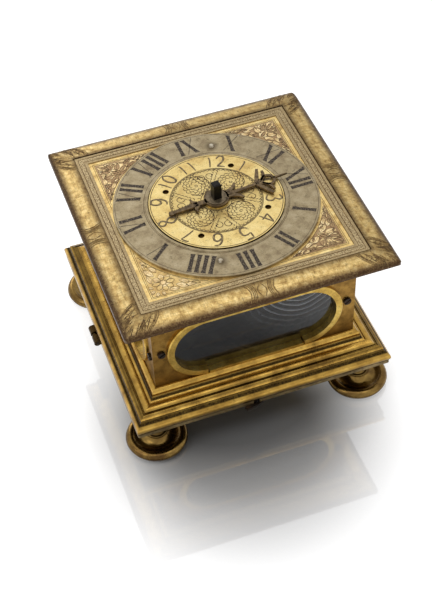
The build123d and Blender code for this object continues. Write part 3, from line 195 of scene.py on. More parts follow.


# Walls and corner posts: gilt brass sheet, browner than the mouldings and cloudy, with painted shade
# under the overhang of the top and just above the base.
wall_rise = 51.5 * mm
wall_gilt, tree, shader, place = finish("clouded gilt sheet", 1.0, 0.38)
shelter = spread(tree, height_of(tree, place), base_top, base_top + wall_rise)
# Painted shade: darker just under the top's overhang and just above the base.
painted_overhang_shade = ramp(tree, shelter, [(0.0, 0.75), (0.06, 0.25), (0.5, 0.05), (0.85, 0.25), (1.0, 0.7)])
patina(tree, shader, place, ("#b58e46", "#947034", "#6a4e22", "#2a1e0e"), 7, 0.7, (0.3, 0.46), 0.25,
       painted_overhang_shade)
dress(["wall_front", "wall_back", "wall_left", "wall_right", "corner_posts"], wall_gilt)


# Window bezels: cast and gilt, the brightest metal on the sides because they stand proud.
bezel_gilt, tree, shader, place = finish("bright rubbed bezel", 1.0, 0.3)
patina(tree, shader, place, ("#dcc06c", "#c2a04e", "#957434", "#3f2d13"), 7, 0.7, (0.26, 0.4), 0.18)
dress(["bezel_front", "bezel_back", "bezel_left", "bezel_right"], bezel_gilt)


# Window panes: old clear glass, smoked grey inside by oil fumes, so the movement only just shows.
# The front pane has faint rings near one end, like the marks of an old wiping cloth.
old_glass, tree, shader, place = finish("smoked old glass", 0.0, 0.06)
shader.inputs["IOR"].default_value = 1.5
shader.inputs["Specular IOR Level"].default_value = 0.25
ring_centre, ring_step, warp = (0.024, -0.05, 0.078), 3.2 * mm, 3 * mm
apart = gap_to(tree, place, ring_centre)
warped = maths(tree, "MULTIPLY_ADD", noise(tree, place, 60.0, 2.0), warp, apart)
rings = maths(tree, "SINE", maths(tree, "MULTIPLY", warped, 2 * math.pi / ring_step))
rings = spread(tree, rings, 0.55, 1.0)
fading = spread(tree, apart, 34 * mm, 16 * mm, 0.0, 0.75)
marks = maths(tree, "MULTIPLY", rings, fading)
tree.links.new(maths(tree, "SUBTRACT", 1.0, marks), shader.inputs["Transmission Weight"])
film = noise(tree, place, 90.0, 5.0)
smoke = ramp(tree, film, [(0.35, "#5c5e60"), (0.7, "#7c7f82")])
tree.links.new(blend(tree, marks, smoke, tone("#d8dadc")), shader.inputs["Base Color"])
ripple = add(tree, "ShaderNodeBump", {"Strength": 0.05, "Distance": 0.4 * mm, "Height": film})
tree.links.new(ripple.outputs[0], shader.inputs["Normal"])
dress(["window_glasses"], old_glass)


# Top moulding: the broad gilt frame. The rounded part is worn bright between dark engraved corners
# and mid-side straps, with painted shade in the groove at its inner foot and along its outer edge
# where it turns down, and the flat band inside is matted by punches.
def from_axis(tree, place):
    """How far out from the dial's axis, square on, and how far along the side from its middle."""
    parts = add(tree, "ShaderNodeSeparateXYZ", {0: place})
    wide, deep = (maths(tree, "ABSOLUTE", parts.outputs[way]) for way in ("X", "Y"))
    return maths(tree, "MAXIMUM", wide, deep), maths(tree, "MINIMUM", wide, deep)


def scratches(tree, place, stretch):
    """Fine lines that run one way, left by polishing."""
    drawn = add(tree, "ShaderNodeMapping", {"Scale": stretch, "Vector": place}).outputs[0]
    return ramp(tree, noise(tree, drawn, 2400.0, 3.0), [(0.36, 0.62), (0.46, 1.0), (0.75, 1.1)])


top_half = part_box("top_moulding")[1][0]
opening_half, band_half = 48.7 * mm, 54 * mm
frame_gilt, tree, shader, place = finish("worn gilt frame", 1.0, 0.36)
out, along = from_axis(tree, place)
across = spread(tree, out, opening_half, top_half)
# Painted shade in the groove at the inner foot of the rounded part and along its outer edge.
edges = ramp(tree, across, [(0.0, 0.1), (0.3, 0.1), (0.33, 0.8), (0.36, 0.85), (0.43, 0.6), (0.53, 0.2),
                            (0.72, 0.15), (0.83, 0.6), (0.92, 0.95), (1.0, 1.0)])
corner = spread(tree, along, 45 * mm, 51 * mm, 0.0, 0.5)
strap = spread(tree, along, 6.4 * mm, 5.2 * mm, 0.0, 0.48)
# Dirt at the engraved corners and straps, together with the painted shade of the edges.
grime_and_painted_shade = maths(tree, "MAXIMUM", edges, maths(tree, "MAXIMUM", corner, strap))
shade = patina(tree, shader, place, ("#ead094", "#cfb172", "#a0804c", "#4a3726"), 3, 0.9, (0.3, 0.46),
               0.3, grime_and_painted_shade)
lengthwise, crosswise = (scratches(tree, place, way) for way in ((0.08, 1.0, 1.0), (1.0, 0.08, 1.0)))
crossed = blend(tree, 1.0, lengthwise, crosswise, "MULTIPLY")
shade = blend(tree, 0.7, shade, crossed, "MULTIPLY")
punches = add(tree, "ShaderNodeTexVoronoi", {"Scale": 1500.0, "Randomness": 0.7, "Vector": place})
dots = ramp(tree, punches.outputs["Distance"], [(0.12, "#35291c"), (0.32, "#7c6a4c"), (0.64, "#b9a57e")])
rows = ramp(tree, across, [(0.0, 0.35), (0.08, 0.35), (0.1, 0.85), (0.23, 0.85), (0.25, 0.35),
                           (0.325, 0.3)])
matted_band = blend(tree, rows, tone("#9c8864"), dots)
flat = maths(tree, "LESS_THAN", out, band_half)
tree.links.new(blend(tree, flat, shade, matted_band), shader.inputs["Base Color"])
dress(["top_moulding"], frame_gilt)


# Dial plate: gilt brass, engraved at the corners on a ground that was matted with a fine punch and
# has gone purple-brown. Round it runs a plain bright border.
def reach_of(tree, place):
    """How far a place is from the dial's axis."""
    level = add(tree, "ShaderNodeVectorMath", {"operation": "MULTIPLY", 0: place, 1: (1, 1, 0)}).outputs[0]
    return add(tree, "ShaderNodeVectorMath", {"operation": "LENGTH", 0: level}).outputs["Value"]


plate_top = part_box("dial_plate")[1][2]
ground_half, ground_from = 46 * mm, 49.7 * mm
dial_gilt, tree, shader, place = finish("engraved dial gilt", 1.0, 0.36)
inside = maths(tree, "LESS_THAN", from_axis(tree, place)[0], ground_half)
beyond = maths(tree, "GREATER_THAN", reach_of(tree, place), ground_from)
ground = maths(tree, "MULTIPLY", inside, beyond)
corner_way = add(tree, "ShaderNodeVectorMath", {"operation": "DOT_PRODUCT", 0: place, 1: (1, 1, 0)})
less_by_daisy = spread(tree, corner_way.outputs["Value"], -50 * mm, -30 * mm, 0.2, 0.68)
patina(tree, shader, place, ("#f0d898", "#dcbe7c", "#b4945a", "#7a5c50"), 5, 0.5, (0.32, 0.5), 0.35,
       maths(tree, "MULTIPLY", ground, less_by_daisy))
dress(["dial_plate"], dial_gilt)


# Chapter ring: silvered brass. The silvering has worn to a greyish khaki with dark freckles and
# brown stains round the rivets.
ring_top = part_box("ring_rivets")[0][2]
rivet_circle = 39 * mm
ring_silver, tree, shader, place = finish("worn silvered ring", 0.9, 0.42)
stains = []
for turn in (74, -107):
    a = math.radians(turn)
    rivet = (rivet_circle * math.cos(a), rivet_circle * math.sin(a), ring_top)
    stains.append(spread(tree, gap_to(tree, place, rivet), 4.2 * mm, 1.5 * mm, 0.0, 0.75))
patina(tree, shader, place, ("#afa082", "#9c8d6e", "#84745a", "#453826"), 5, 0.55, (0.36, 0.5), 0.25,
       maths(tree, "MAXIMUM", *stains))
dress(["chapter_ring"], ring_silver)
pin_metal, tree, shader, place = finish("bright pin heads", 1.0, 0.25)
patina(tree, shader, place, ("#d6cfc0", "#b8ae9a", "#8d8068", "#3a3024"), 2, 0.4, (0.2, 0.35), 0.1)
dress(["ring_rivets"], pin_metal)


# Hour numerals: cut deep into the ring with a broad graver and filled with near-black wax. Each is
# thick and thin strokes, its top outwards, between two fine circles.
def filling(name, metallic, roughness, scale, stops):
    """What fills engraved lines, worn pale in places."""
    material, tree, shader, place = finish(name, metallic, roughness)
    tree.links.new(ramp(tree, noise(tree, place, scale, 4.0), stops), shader.inputs["Base Color"])
    return material


hour_wax = filling("worn black wax", 0.0, 0.6, 1400.0,
                   [(0.3, "#2a231e"), (0.52, "#463b32"), (0.68, "#84765f")])
hour_wax.node_tree.nodes["Principled BSDF"].inputs["Specular IOR Level"].default_value = 0.25
inner_line, outer_line = 35.6, 46.7
thick, thin, spacing = 1.75, 0.3, 3.2
thick_lean, thin_lean, first_heading = 2.3, 2.5, 89
wax_level = ring_top + 0.03 * mm


def deselect():
    """Leaves nothing selected, so that the next operation acts on its own piece."""
    bpy.ops.object.select_all(action="DESELECT")


def join(parts, name, material):
    """Makes one named piece of several, at the origin, in one material."""
    deselect()
    for part in parts:
        part.select_set(True)
    bpy.context.view_layer.objects.active = parts[0]
    if len(parts) > 1:
        bpy.ops.object.join()
    bpy.ops.object.transform_apply(location=True, rotation=True, scale=True)
    piece = bpy.context.view_layer.objects.active
    piece.name = piece.data.name = name
    piece.data.materials.clear()
    piece.data.materials.append(material)
    return piece


def stroke(u_foot, u_head, width, heading):
    """One graver cut across the band, from its foot near the centre to its head, in mm."""
    deselect()
    bpy.ops.mesh.primitive_grid_add(x_subdivisions=1, y_subdivisions=8, size=1)
    cut = bpy.context.object
    turn = Matrix.Rotation(math.radians(-heading), 4, "Z")
    for corner in cut.data.vertices:
        side, share = corner.co.x, corner.co.y + 0.5
        flare = 1 + 0.32 * abs(2 * share - 1) ** 5
        u = u_foot + (u_head - u_foot) * share + side * width * flare
        v = inner_line + (outer_line - inner_line) * share
        corner.co = turn @ Vector((u * mm, v * mm, wax_level))
    return cut


letters = {"I": 1.0, "V": 2.2, "X": 2.2}
cuts = []
for hour, word in enumerate(("XII", "I", "II", "III", "IIII", "V", "VI", "VII", "VIII", "IX", "X", "XI")):
    heading = first_heading + 30 * hour
    start = -sum(letters[c] for c in word) * spacing / 2
    for letter in word:
        half = letters[letter] * spacing / 2
        middle = start + half
        if letter == "I":
            cuts.append(stroke(middle, middle, thick, heading))
        elif letter == "V":
            cuts.append(stroke(middle, middle - thick_lean, thick, heading))
            cuts.append(stroke(middle + 0.2, middle + thin_lean, thin, heading))
        else:
            cuts.append(stroke(middle + thick_lean, middle - thick_lean, thick, heading))
            cuts.append(stroke(middle - thin_lean, middle + thin_lean, thin, heading))
        start += 2 * half
numerals = join(cuts, "hour_numerals", hour_wax)
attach(numerals, "case")


# Alarm disc: thick brass, the brightest gilding on the dial because it was made last and handled
# least. Its rim is plain for the numbers, its middle dulled a little by the engraving there. All of
# it more than half a millimetre under its top, its side face, is painted dark as painted shade.
disc_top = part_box("alarm_disc")[1][2] - 0.25 * mm
side_shade_level = disc_top - 0.25 * mm
disc_gilt, tree, shader, place = finish("bright gilt disc", 1.0, 0.32)
rubbed = spread(tree, reach_of(tree, place), 22.5 * mm, 20.5 * mm, 0.0, 0.17)
# Painted shade: the disc's side face and everything else below this level are painted dark.
painted_side_shade = maths(tree, "LESS_THAN", height_of(tree, place), side_shade_level)
patina(tree, shader, place, ("#f2dc9c", "#e2c884", "#c4a566", "#4c3a1c"), 9, 0.5, (0.28, 0.4), 0.2,
       maths(tree, "MULTIPLY_ADD", painted_side_shade, 3.0, rubbed))
dress(["alarm_disc"], disc_gilt)


# Numbers, scrolls and borders of the alarm disc: fine graver lines, filled brown. Four rosettes of
# small fronds fill the middle, with scrolls between them and a row of scallops round them.
engraved_brown = filling("brown filled engraving", 0.3, 0.6, 900.0,
                         [(0.3, "#33240f"), (0.6, "#513b1c"), (0.8, "#80663a")])
number_brown = filling("worn number filling", 0.4, 0.55, 1100.0,
                       [(0.35, "#5a4a36"), (0.52, "#7c6a4c"), (0.72, "#ab9668")])
proud, flattened = 0.02 * mm, 0.15


def engraving(name, lines, width, material, flat_at=None, taper=0.5):
    """Graver lines in mm as one mesh, thin at their ends, nearly flush with a flat face."""
    curve = bpy.data.curves.new(name, "CURVE")
    curve.dimensions = "3D"
    curve.bevel_depth = width / 2 * mm
    curve.bevel_resolution = 0
    for line in lines:
        spline = curve.splines.new("NURBS")
        spline.points.add(len(line) - 1)
        for index, (point, spot) in enumerate(zip(spline.points, line)):
            high = flat_at if flat_at is not None else spot[2] * mm
            point.co = (spot[0] * mm, spot[1] * mm, high, 1)
            point.radius = taper if index in (0, len(line) - 1) else 1.0
        spline.order_u = 3
        spline.use_endpoint_u = True
        spline.resolution_u = 3
    piece = bpy.data.objects.new(name, curve)
    bpy.context.collection.objects.link(piece)
    deselect()
    piece.select_set(True)
    bpy.context.view_layer.objects.active = piece
    bpy.ops.object.convert(target="MESH")
    piece = bpy.context.view_layer.objects.active
    if flat_at is not None:
        for corner in piece.data.vertices:
            corner.co.z = flat_at + (corner.co.z - flat_at) * flattened
    piece.data.materials.clear()
    piece.data.materials.append(material)
    return piece


def polar(radius, heading, x=0.0, y=0.0):
    """A point at a distance and heading from another. Headings run clockwise from +Y."""
    a = math.radians(heading)
    return x + radius * math.sin(a), y + radius * math.cos(a)


def ring_line(radius, start=0, end=360, steps=48):
    """Part of a circle about the dial's axis, as points in mm."""
    return [(*polar(radius, start + (end - start) * i / steps), 0) for i in range(steps + 1)]


def moved(line, heading, radius, flip=1):
    """A drawing set out from the axis along a heading, its own +Y pointing outwards."""
    a = math.radians(heading)
    return [((radius + y) * math.sin(a) + flip * x * math.cos(a),
             (radius + y) * math.cos(a) - flip * x * math.sin(a), 0) for x, y in line]


def spiral(outer, inner, start, turns, steps=14):
    """A scroll line that winds in from one radius to another about its own centre."""
    return [polar(outer + (inner - outer) * i / steps, start + 360 * turns * i / steps)
            for i in range(steps + 1)]


def wave(step, pace):
    """A value from -1 to 1 that wanders from step to step, for work done by eye."""
    return math.sin(step * pace + math.sin(step * 1.7) * 2.0)


def comma(x, y, turn, length, bow):
    """A short bowed graver stroke."""
    a = math.radians(turn)
    return [(x + t * length * math.sin(a) + bow * math.sin(math.pi * t) * math.cos(a),
             y + t * length * math.cos(a) - bow * math.sin(math.pi * t) * math.sin(a))
            for t in (0, 0.25, 0.5, 0.75, 1)]


digits = {
    "0": [[(0, 1), (-0.62, 0.75), (-0.66, -0.5), (0, -1), (0.66, -0.5), (0.62, 0.75), (0, 1)]],
    "1": [[(-0.35, 0.7), (0.05, 1), (0, -1)]],
    "2": [[(-0.6, 0.5), (-0.4, 1), (0.6, 1), (0.6, 0.1), (-0.6, -0.9), (0, -0.8), (0.75, -1)]],
    "3": [[(-0.6, 0.7), (0, 1.15), (0.7, 0.7), (0.1, 0.15)],
          [(0.1, 0.15), (0.9, 0.0), (0.5, -1.1), (-0.6, -0.7)]],
    "4": [[(0.3, -1), (0.3, 0.0), (0.35, 1)], [(0.35, 1), (-0.3, 0.3), (-0.75, -0.35)],
          [(-0.75, -0.35), (0.1, -0.3), (0.8, -0.35)]],
    "5": [[(0.7, 1), (0.1, 0.9), (-0.45, 1)], [(-0.45, 1), (-0.5, 0.6), (-0.55, 0.1)],
          [(-0.55, 0.1), (0.9, 0.5), (0.8, -1), (-0.1, -1.15), (-0.6, -0.7)]],
    "6": [[(0.6, 0.9), (-0.3, 1), (-0.75, -0.3), (-0.4, -1.1), (0.7, -1), (0.7, 0.1), (-0.2, 0.3),
           (-0.6, -0.4)]],
    "7": [[(-0.6, 0.8), (-0.3, 1), (0.7, 0.85)], [(0.7, 0.85), (0.2, 0.1), (-0.05, -1)]],
    "8": [[(0, 0.1), (-0.75, 0.5), (-0.3, 1.1), (0.35, 1.1), (0.7, 0.5), (0, 0.1), (-0.8, -0.4),
           (-0.4, -1.1), (0.4, -1.1), (0.8, -0.4), (0, 0.1)]],
    "9": [[(-0.6, -0.9), (0.3, -1), (0.75, 0.3), (0.4, 1.1), (-0.7, 1), (-0.7, -0.1), (0.2, -0.3),
           (0.6, 0.4)]],
}
digit_wide, digit_high, digit_spacing = 2.9, 3.9, 4.8
number_reach, twelve_heading = 26.6, 18
lines = []
for number in range(1, 13):
    heading = twelve_heading + 30 * (number % 12)
    word = str(number)
    for index, digit in enumerate(word):
        shift = (index - (len(word) - 1) / 2) * digit_spacing
        for mark in digits[digit]:
            lines.append(moved([(x * digit_wide + shift, y * digit_high) for x, y in mark], heading,
                               number_reach))
disc_numbers = engraving("alarm_numbers", lines, 1.05, number_brown, disc_top + proud, 0.6)
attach(disc_numbers, "disc")

medal_reach, scroll_reach, frond_reach, scallop_reach, tuft_reach = 13.8, 17.0, 15.6, 20.1, 7.6
lines = [ring_line(21.9), ring_line(31.1), ring_line(7.3), ring_line(21.4)]
fine = []
for medal, heading in enumerate((48, 144, 233, 335)):
    flip = (1, -1)[medal % 2]
    lines.append(moved(spiral(6.7, 6.5, 40 * medal, 0.66, 20), heading, medal_reach, flip))
    lines.append(moved(spiral(0.9, 0.4, 40 * medal, 1.0, 10), heading, medal_reach, flip))
    for row, (radius, count, size) in enumerate(((5.3, 15, 1.05), (3.8, 11, 1.0), (2.3, 7, 0.9))):
        for leaflet in range(count):
            turn = 40 * medal + 13 * row + 360 * leaflet / count + 3 * wave(leaflet, 2.3)
            stalk = polar(radius, turn)
            frond = [polar(size * grow, turn + curl, *stalk)
                     for grow, curl in ((1.0, -85), (1.0, -30), (1.0, 25), (1.15, 80), (1.6, 125))]
            fine.append(moved(frond, heading, medal_reach, flip))
for heading in (1, 96, 188, 284):
    for flip in (-1, 1):
        lines.append(moved(spiral(2.4, 0.6, 180, 1.0), heading + 8 * flip, scroll_reach, flip))
        for leaflet in range(6):
            outer = comma(0.8 + 1.1 * leaflet, -5.4 + 1.5 * leaflet, 62 - 12 * leaflet, 1.9, 0.5)
            inner = comma(0.6 + 0.9 * leaflet, -3.2 + 1.3 * leaflet, 40 - 12 * leaflet, 1.6, 0.5)
            fine += [moved(frond, heading, frond_reach, flip) for frond in (outer, inner)]
for leaflet in range(64):
    scallop = [(0.95 * math.sin(math.radians(b)), 0.9 * math.cos(math.radians(b)))
               for b in range(-90, 91, 45)]
    fine.append(moved(scallop, leaflet * 360 / 64 + 0.8 * wave(leaflet, 2.7), scallop_reach))
for leaflet in range(28):
    fine.append(moved(comma(0, 0, 25 * wave(leaflet, 1.7), 1.4, 0.3), leaflet * 12.9, tuft_reach))
fine_cuts = engraving("alarm_leaf_cuts", fine, 0.36, engraved_brown, disc_top + proud, 0.25)
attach(fine_cuts, "disc")
disc_scrolls = engraving("alarm_scrolls", lines, 0.34, engraved_brown, disc_top + proud)
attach(disc_scrolls, "disc")


# Spandrels: a leafy scroll in three corners and a daisy between leaves in the fourth, left standing
# bright while the ground round them was punched down. Two border lines run outside them.
leaf_gilt, tree, shader, place = finish("pale worn leaf gilt", 1.0, 0.4)
patina(tree, shader, place, ("#f0dcb0", "#dcc08c", "#b89a6c", "#6e5340"), 3, 0.5, (0.32, 0.48), 0.3)


def leaf(length, width, lean):
    """A pointed leaf as a closed outline, its stalk at the start."""
    steps = 7
    outline = []
    for side in (1, -1):
        for i in range(steps):
            t = i / steps if side > 0 else 1 - i / steps
            swell = side * width * math.sin(math.pi * t) ** 0.8 + lean * math.sin(math.pi * t)
            outline.append((swell, length * t))
    return outline


def standing(name, outlines, thickness, base, material):
    """A flat piece of one thickness, standing on a base level, from closed outlines in mm."""
    curve = bpy.data.curves.new(name, "CURVE")
    curve.dimensions = "2D"
    curve.fill_mode = "BOTH"
    curve.extrude = thickness / 2 * mm
    for outline in outlines:
        spline = curve.splines.new("POLY")
        spline.points.add(len(outline) - 1)
        for point, spot in zip(spline.points, outline):
            point.co = (spot[0] * mm, spot[1] * mm, 0, 1)
        spline.use_cyclic_u = True
    piece = bpy.data.objects.new(name, curve)
    piece.location.z = base + thickness / 2 * mm
    bpy.context.collection.objects.link(piece)
    deselect()
    piece.select_set(True)
    bpy.context.view_layer.objects.active = piece
    bpy.ops.object.convert(target="MESH")
    return join([bpy.context.view_layer.objects.active], name, material)


def turned_in(outline, x, y, turn, flip=1):
    """An outline turned and set down in a corner's own drawing."""
    a = math.radians(turn)
    return [(flip * (x + px * math.cos(a) + py * math.sin(a)), y - px * math.sin(a) + py * math.cos(a))
            for px, py in outline]


leaves, veins = [], []
sprays = ((0.2, -4.6, 4, 6.0, 1.3), (0.3, 2.2, 3, 6.4, 1.1), (0.9, 0.9, 30, 5.4, 1.1),
          (1.2, -1.2, 62, 5.8, 1.2), (1.2, -3.4, 88, 5.6, 1.2), (1.2, 4.6, 48, 2.4, 0.7),
          (2.8, 1.9, 42, 3.0, 0.8), (4.6, 0.6, 22, 2.6, 0.8), (6.2, 1.4, 128, 5.0, 0.9),
          (6.4, -2.2, 96, 5.2, 1.1), (6.2, -4.4, 104, 4.8, 0.8), (11.0, -2.8, 130, 4.4, 0.8),
          (11.4, -4.7, 112, 4.8, 0.8), (12.0, -6.4, 108, 3.4, 0.5), (14.2, -6.1, 124, 3.6, 0.6),
          (15.2, -7.5, 112, 3.0, 0.4), (3.2, -4.4, 96, 3.6, 0.8), (8.4, -1.4, 118, 4.0, 0.8))
daisy_sides = ((5.6, -1.2, 100, 5.8, 1.2), (4.4, 3.2, 128, 5.0, 0.9), (5.6, -3.9, 104, 5.0, 0.9),
               (9.8, -2.6, 126, 5.0, 0.9), (11.0, -5.0, 110, 4.6, 0.7), (0.7, 6.4, 14, 2.6, 0.7),
               (2.2, 5.4, 60, 2.2, 0.6))
corner_reach, daisy_reach, daisy_heading = 55.2, 55.4, 225
for heading, drawing in ((45, sprays), (135, sprays), (315, sprays), (daisy_heading, daisy_sides)):
    for flip in (-1, 1):
        for x, y, turn, length, width in drawing:
            shape = turned_in(leaf(length, 1.2 * width, 0.3), x, y, turn, flip)
            leaves.append(moved(shape, heading, corner_reach))
            veins.append(moved(shape + shape[:1], heading, corner_reach))
            spine = turned_in([(0.1, 0.5), (0.3, length * 0.5), (0.0, length * 0.92)], x, y, turn, flip)
            veins.append(moved(spine, heading, corner_reach))
heart_radius = 1.3
daisy = [turned_in(leaf(4.0, 1.35, 0.0), *polar(heart_radius, turn), turn) for turn in range(0, 360, 45)]
daisy.append([polar(heart_radius, turn) for turn in range(0, 360, 30)])
for outline in daisy:
    leaves.append(moved(outline, daisy_heading, daisy_reach))
    veins.append(moved(outline + outline[:1], daisy_heading, daisy_reach))
leaf_thick = 0.08
spandrels = standing("spandrel_leaves", leaves, leaf_thick, plate_top, leaf_gilt)
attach(spandrels, "case")
spandrel_lines = engraving("spandrel_veins", veins, 0.15, engraved_brown, plate_top + 0.1 * mm)
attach(spandrel_lines, "case")

lines = []
for quarter in range(4):
    turn = Matrix.Rotation(math.radians(90 * quarter), 2)
    for side, gap in ((46.2, 17.0), (46.9, 14.0)):
        for start, end in (((side, gap), (side, side)), ((side, side), (gap, side))):
            line = [turn @ Vector(start).lerp(Vector(end), i / 6) for i in range(7)]
            lines.append([(p.x, p.y, 0) for p in line])
for heading in (45, 135, 225, 315):
    lines.append(ring_line(49.7, heading - 21, heading + 21, 12))
borders = engraving("dial_borders", lines, 0.22, engraved_brown, plate_top + proud, 1.0)
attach(borders, "case")


# Lines of the chapter ring: a fine circle at each edge of the numerals' band.
lines = [ring_line(34.2), ring_line(47.6)]
ring_lines = engraving("ring_circles", lines, 0.18, engraved_brown, ring_top + proud, 1.0)
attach(ring_lines, "case")


# Frame ornament: acanthus at the corners and a strap across the middle of each side, cut into the
# rounded part with a graver, and two lines along the matted band.
band_top = plate_top + 0.4 * mm
ovolo_from, ovolo_wide, ovolo_high = 54.5, 10.5, 2.9
ovolo_foot = band_top / mm + 0.3 - ovolo_high


def on_frame(side, along_side, out_mm):
    """A point on the frame's top, from how far along a side and how far out it lies."""
    if out_mm < ovolo_from:
        z = band_top / mm
    else:
        share = min((out_mm - ovolo_from) / ovolo_wide, 0.998)
        z = ovolo_foot + ovolo_high * math.sqrt(1 - share * share)
    a = math.radians(90 * side)
    x, y = out_mm, along_side
    return (x * math.cos(a) - y * math.sin(a), x * math.sin(a) + y * math.cos(a), z)


def cut(side, flip, steps, course):
    """A graver line on a side of the frame. Its course says how far along and out each share is."""
    spots = [course(i / steps) for i in range(steps + 1)]
    return [on_frame(side, flip * along_side, out_mm) for along_side, out_mm in spots]


rubbed_lines = filling("rubbed frame engraving", 0.5, 0.55, 700.0,
                       [(0.35, "#513c1f"), (0.52, "#775c34"), (0.68, "#a98c56")])
lines = []
for side in range(4):
    for flip in (-1, 1):
        for edge, flare in ((4.9, 1.6), (4.2, 1.4), (3.5, 1.2), (6.0, 1.8)):
            lines.append(cut(side, flip, 8, lambda t: (
                edge + flare * (2 * t - 1) ** 2 - 0.6, 55 + 9.4 * t)))
        lines.append(cut(side, flip, 6, lambda t: (0.4 + 1.6 * math.sin(math.pi * t), 56 + 7 * t)))
        for shift in (0.0, 0.8, 1.6):
            lines.append(cut(side, flip, 8, lambda t: (46.5 + shift + 7.0 * t ** 1.6, 55 + 9.2 * t)))
        for vein in range(6):
            lines.append(cut(side, flip, 6, lambda t: (
                min(53.6 - 0.1 * vein + (vein * 1.1 + 1.4) * t ** 1.3, 54.8 + 9.4 * t), 55.2 + 9.0 * t)))
        for hatch in range(16):
            near, far = 47.6 + hatch * 0.95, 56.2 + 1.2 * (hatch % 3) + 0.28 * hatch
            lines.append(cut(side, flip, 4, lambda t: (
                min(near + 1.5 * t + 0.5 * math.sin(math.pi * t), far + 2.6 * t - 0.3),
                min(far + 2.6 * t, 64.2))))
        for vein in range(5):
            near, far = 49.5 + vein * 1.6, 55.6 + vein * 1.5
            lines.append(cut(side, flip, 5, lambda t: (
                min(near + 1.6 * math.sin(math.pi * t), far + 3 * t), min(far + 3.2 * t, 64))))
    for out_mm in (50.3, 52.6):
        lines.append(cut(side, 1, 10, lambda t: (out_mm * (2 * t - 1), out_mm)))
frame_lines = engraving("frame_engraving", lines, 0.4, rubbed_lines)
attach(frame_lines, "case")


# Hour hand: forged iron, filed to shape and browned, with rust in its piercings. A round boss carries
# a stem with scrolls, bowed arms, a crescent, a loop and a needle, and on the other side a barbed tail.
browned_iron, tree, shader, place = finish("browned iron", 0.7, 0.5)
patina(tree, shader, place, ("#877250", "#625036", "#403324", "#1a130d"), 2.0, 0.4, (0.4, 0.58), 0.4)
hand_low, hand_high = (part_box("hour_hand")[i][2] for i in (0, 1))
hand_thick, hand_base = (hand_high - hand_low) / mm - 0.1, hand_low + 0.05 * mm
hand_turn = Matrix.Rotation(math.radians(6), 4, "Z")


def bar(name, line, widths):
    """A flat bar along a line in mm: its width at the start, at the end, and what it gains between."""
    sides = ([], [])
    last = len(line) - 1
    for index, (x, y) in enumerate(line):
        before, after = line[max(index - 1, 0)], line[min(index + 1, last)]
        run, rise = after[0] - before[0], after[1] - before[1]
        length = math.hypot(run, rise)
        width = widths[0] + (widths[1] - widths[0]) * index / last
        width += widths[2] * math.sin(math.pi * index / last)
        sides[0].append((x - rise / length * width / 2, y + run / length * width / 2))
        sides[1].append((x + rise / length * width / 2, y - run / length * width / 2))
    return standing(name, [sides[0] + sides[1][::-1]], hand_thick, hand_base, browned_iron)


def bowed(start, middle, end, steps=12):
    """Points along a curve from start to end that is drawn towards a middle point."""
    points = []
    for i in range(steps + 1):
        t = i / steps
        points.append(tuple(start[k] * (1 - t) ** 2 + 2 * middle[k] * t * (1 - t) + end[k] * t * t
                            for k in (0, 1)))
    return points


def round_of(x, radius, step, end=360):
    """Points on a circle whose middle lies on the hand's line."""
    return [(x + radius * math.cos(math.radians(a)), radius * math.sin(math.radians(a)))
            for a in range(0, end, step)]


bars = [
    bar("boss", [(-5.9, 0), (5.9, 0)], (0.5, 0.5, 0.0)),
    bar("stem", bowed((4.6, 0), (12, -0.4), (21.0, 0)), (2.6, 1.5, -0.3)),
    bar("needle", bowed((29.6, 0), (33, 0.1), (36.9, 0)), (1.3, 0.35, 0.0)),
    bar("tail", bowed((-4.6, 0), (-12, 0.3), (-21.9, 0)), (2.6, 1.7, 0.5)),
]
for shape in (round_of(-22.9, 1.35, 20), round_of(0, 6.0, 9)):
    bars.append(standing("plate", [shape], hand_thick, hand_base, browned_iron))
for side in (-1, 1):
    for name, start, middle, end, widths in (
            ("scroll", (4.8, 1.6), (9.6, 1.2), (11.8, 5.4), (1.6, 1.1, 0.5)),
            ("arm", (20.6, 0.2), (22.4, 2.6), (25.4, 8.9), (1.2, 1.3, 0.7)),
            ("crescent", (21.6, 0.3), (27.2, 1.8), (27.0, 6.9), (0.9, 1.2, 0.3)),
            ("barb", (-9.4, 0.9), (-11.8, 1.6), (-11.4, 4.6), (2.0, 0.5, 0.3))):
        bars.append(bar(name, bowed(*((x, side * y) for x, y in (start, middle, end))), widths))
bars.append(bar("loop", round_of(27.0, 3.1, 15, 361), (1.2, 1.2, 0.0)))
hand_piece = join(bars, "forged_hand", browned_iron)
hand_piece.data.transform(hand_turn)
bevel = hand_piece.modifiers.new("filed edges", "BEVEL")
bevel.width = 0.12 * mm
bevel.segments = 2
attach(hand_piece, "hand")
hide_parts("hour_hand")


# Post and collet: the post is black iron with a slight shine on its corners, the collet greyer.
post_iron, tree, shader, place = finish("black iron post", 0.8, 0.38)
patina(tree, shader, place, ("#23211f", "#181614", "#2b2622", "#0c0b0a"), 3, 0.5, (0.3, 0.5), 0.3)
dress(["centre_arbor"], post_iron)
collet_iron, tree, shader, place = finish("grey iron collet", 0.8, 0.45)
patina(tree, shader, place, ("#8c7c62", "#6c5e48", "#4a4032", "#1d1812"), 2, 0.4, (0.38, 0.55), 0.4)
dress(["hand_collet"], collet_iron)


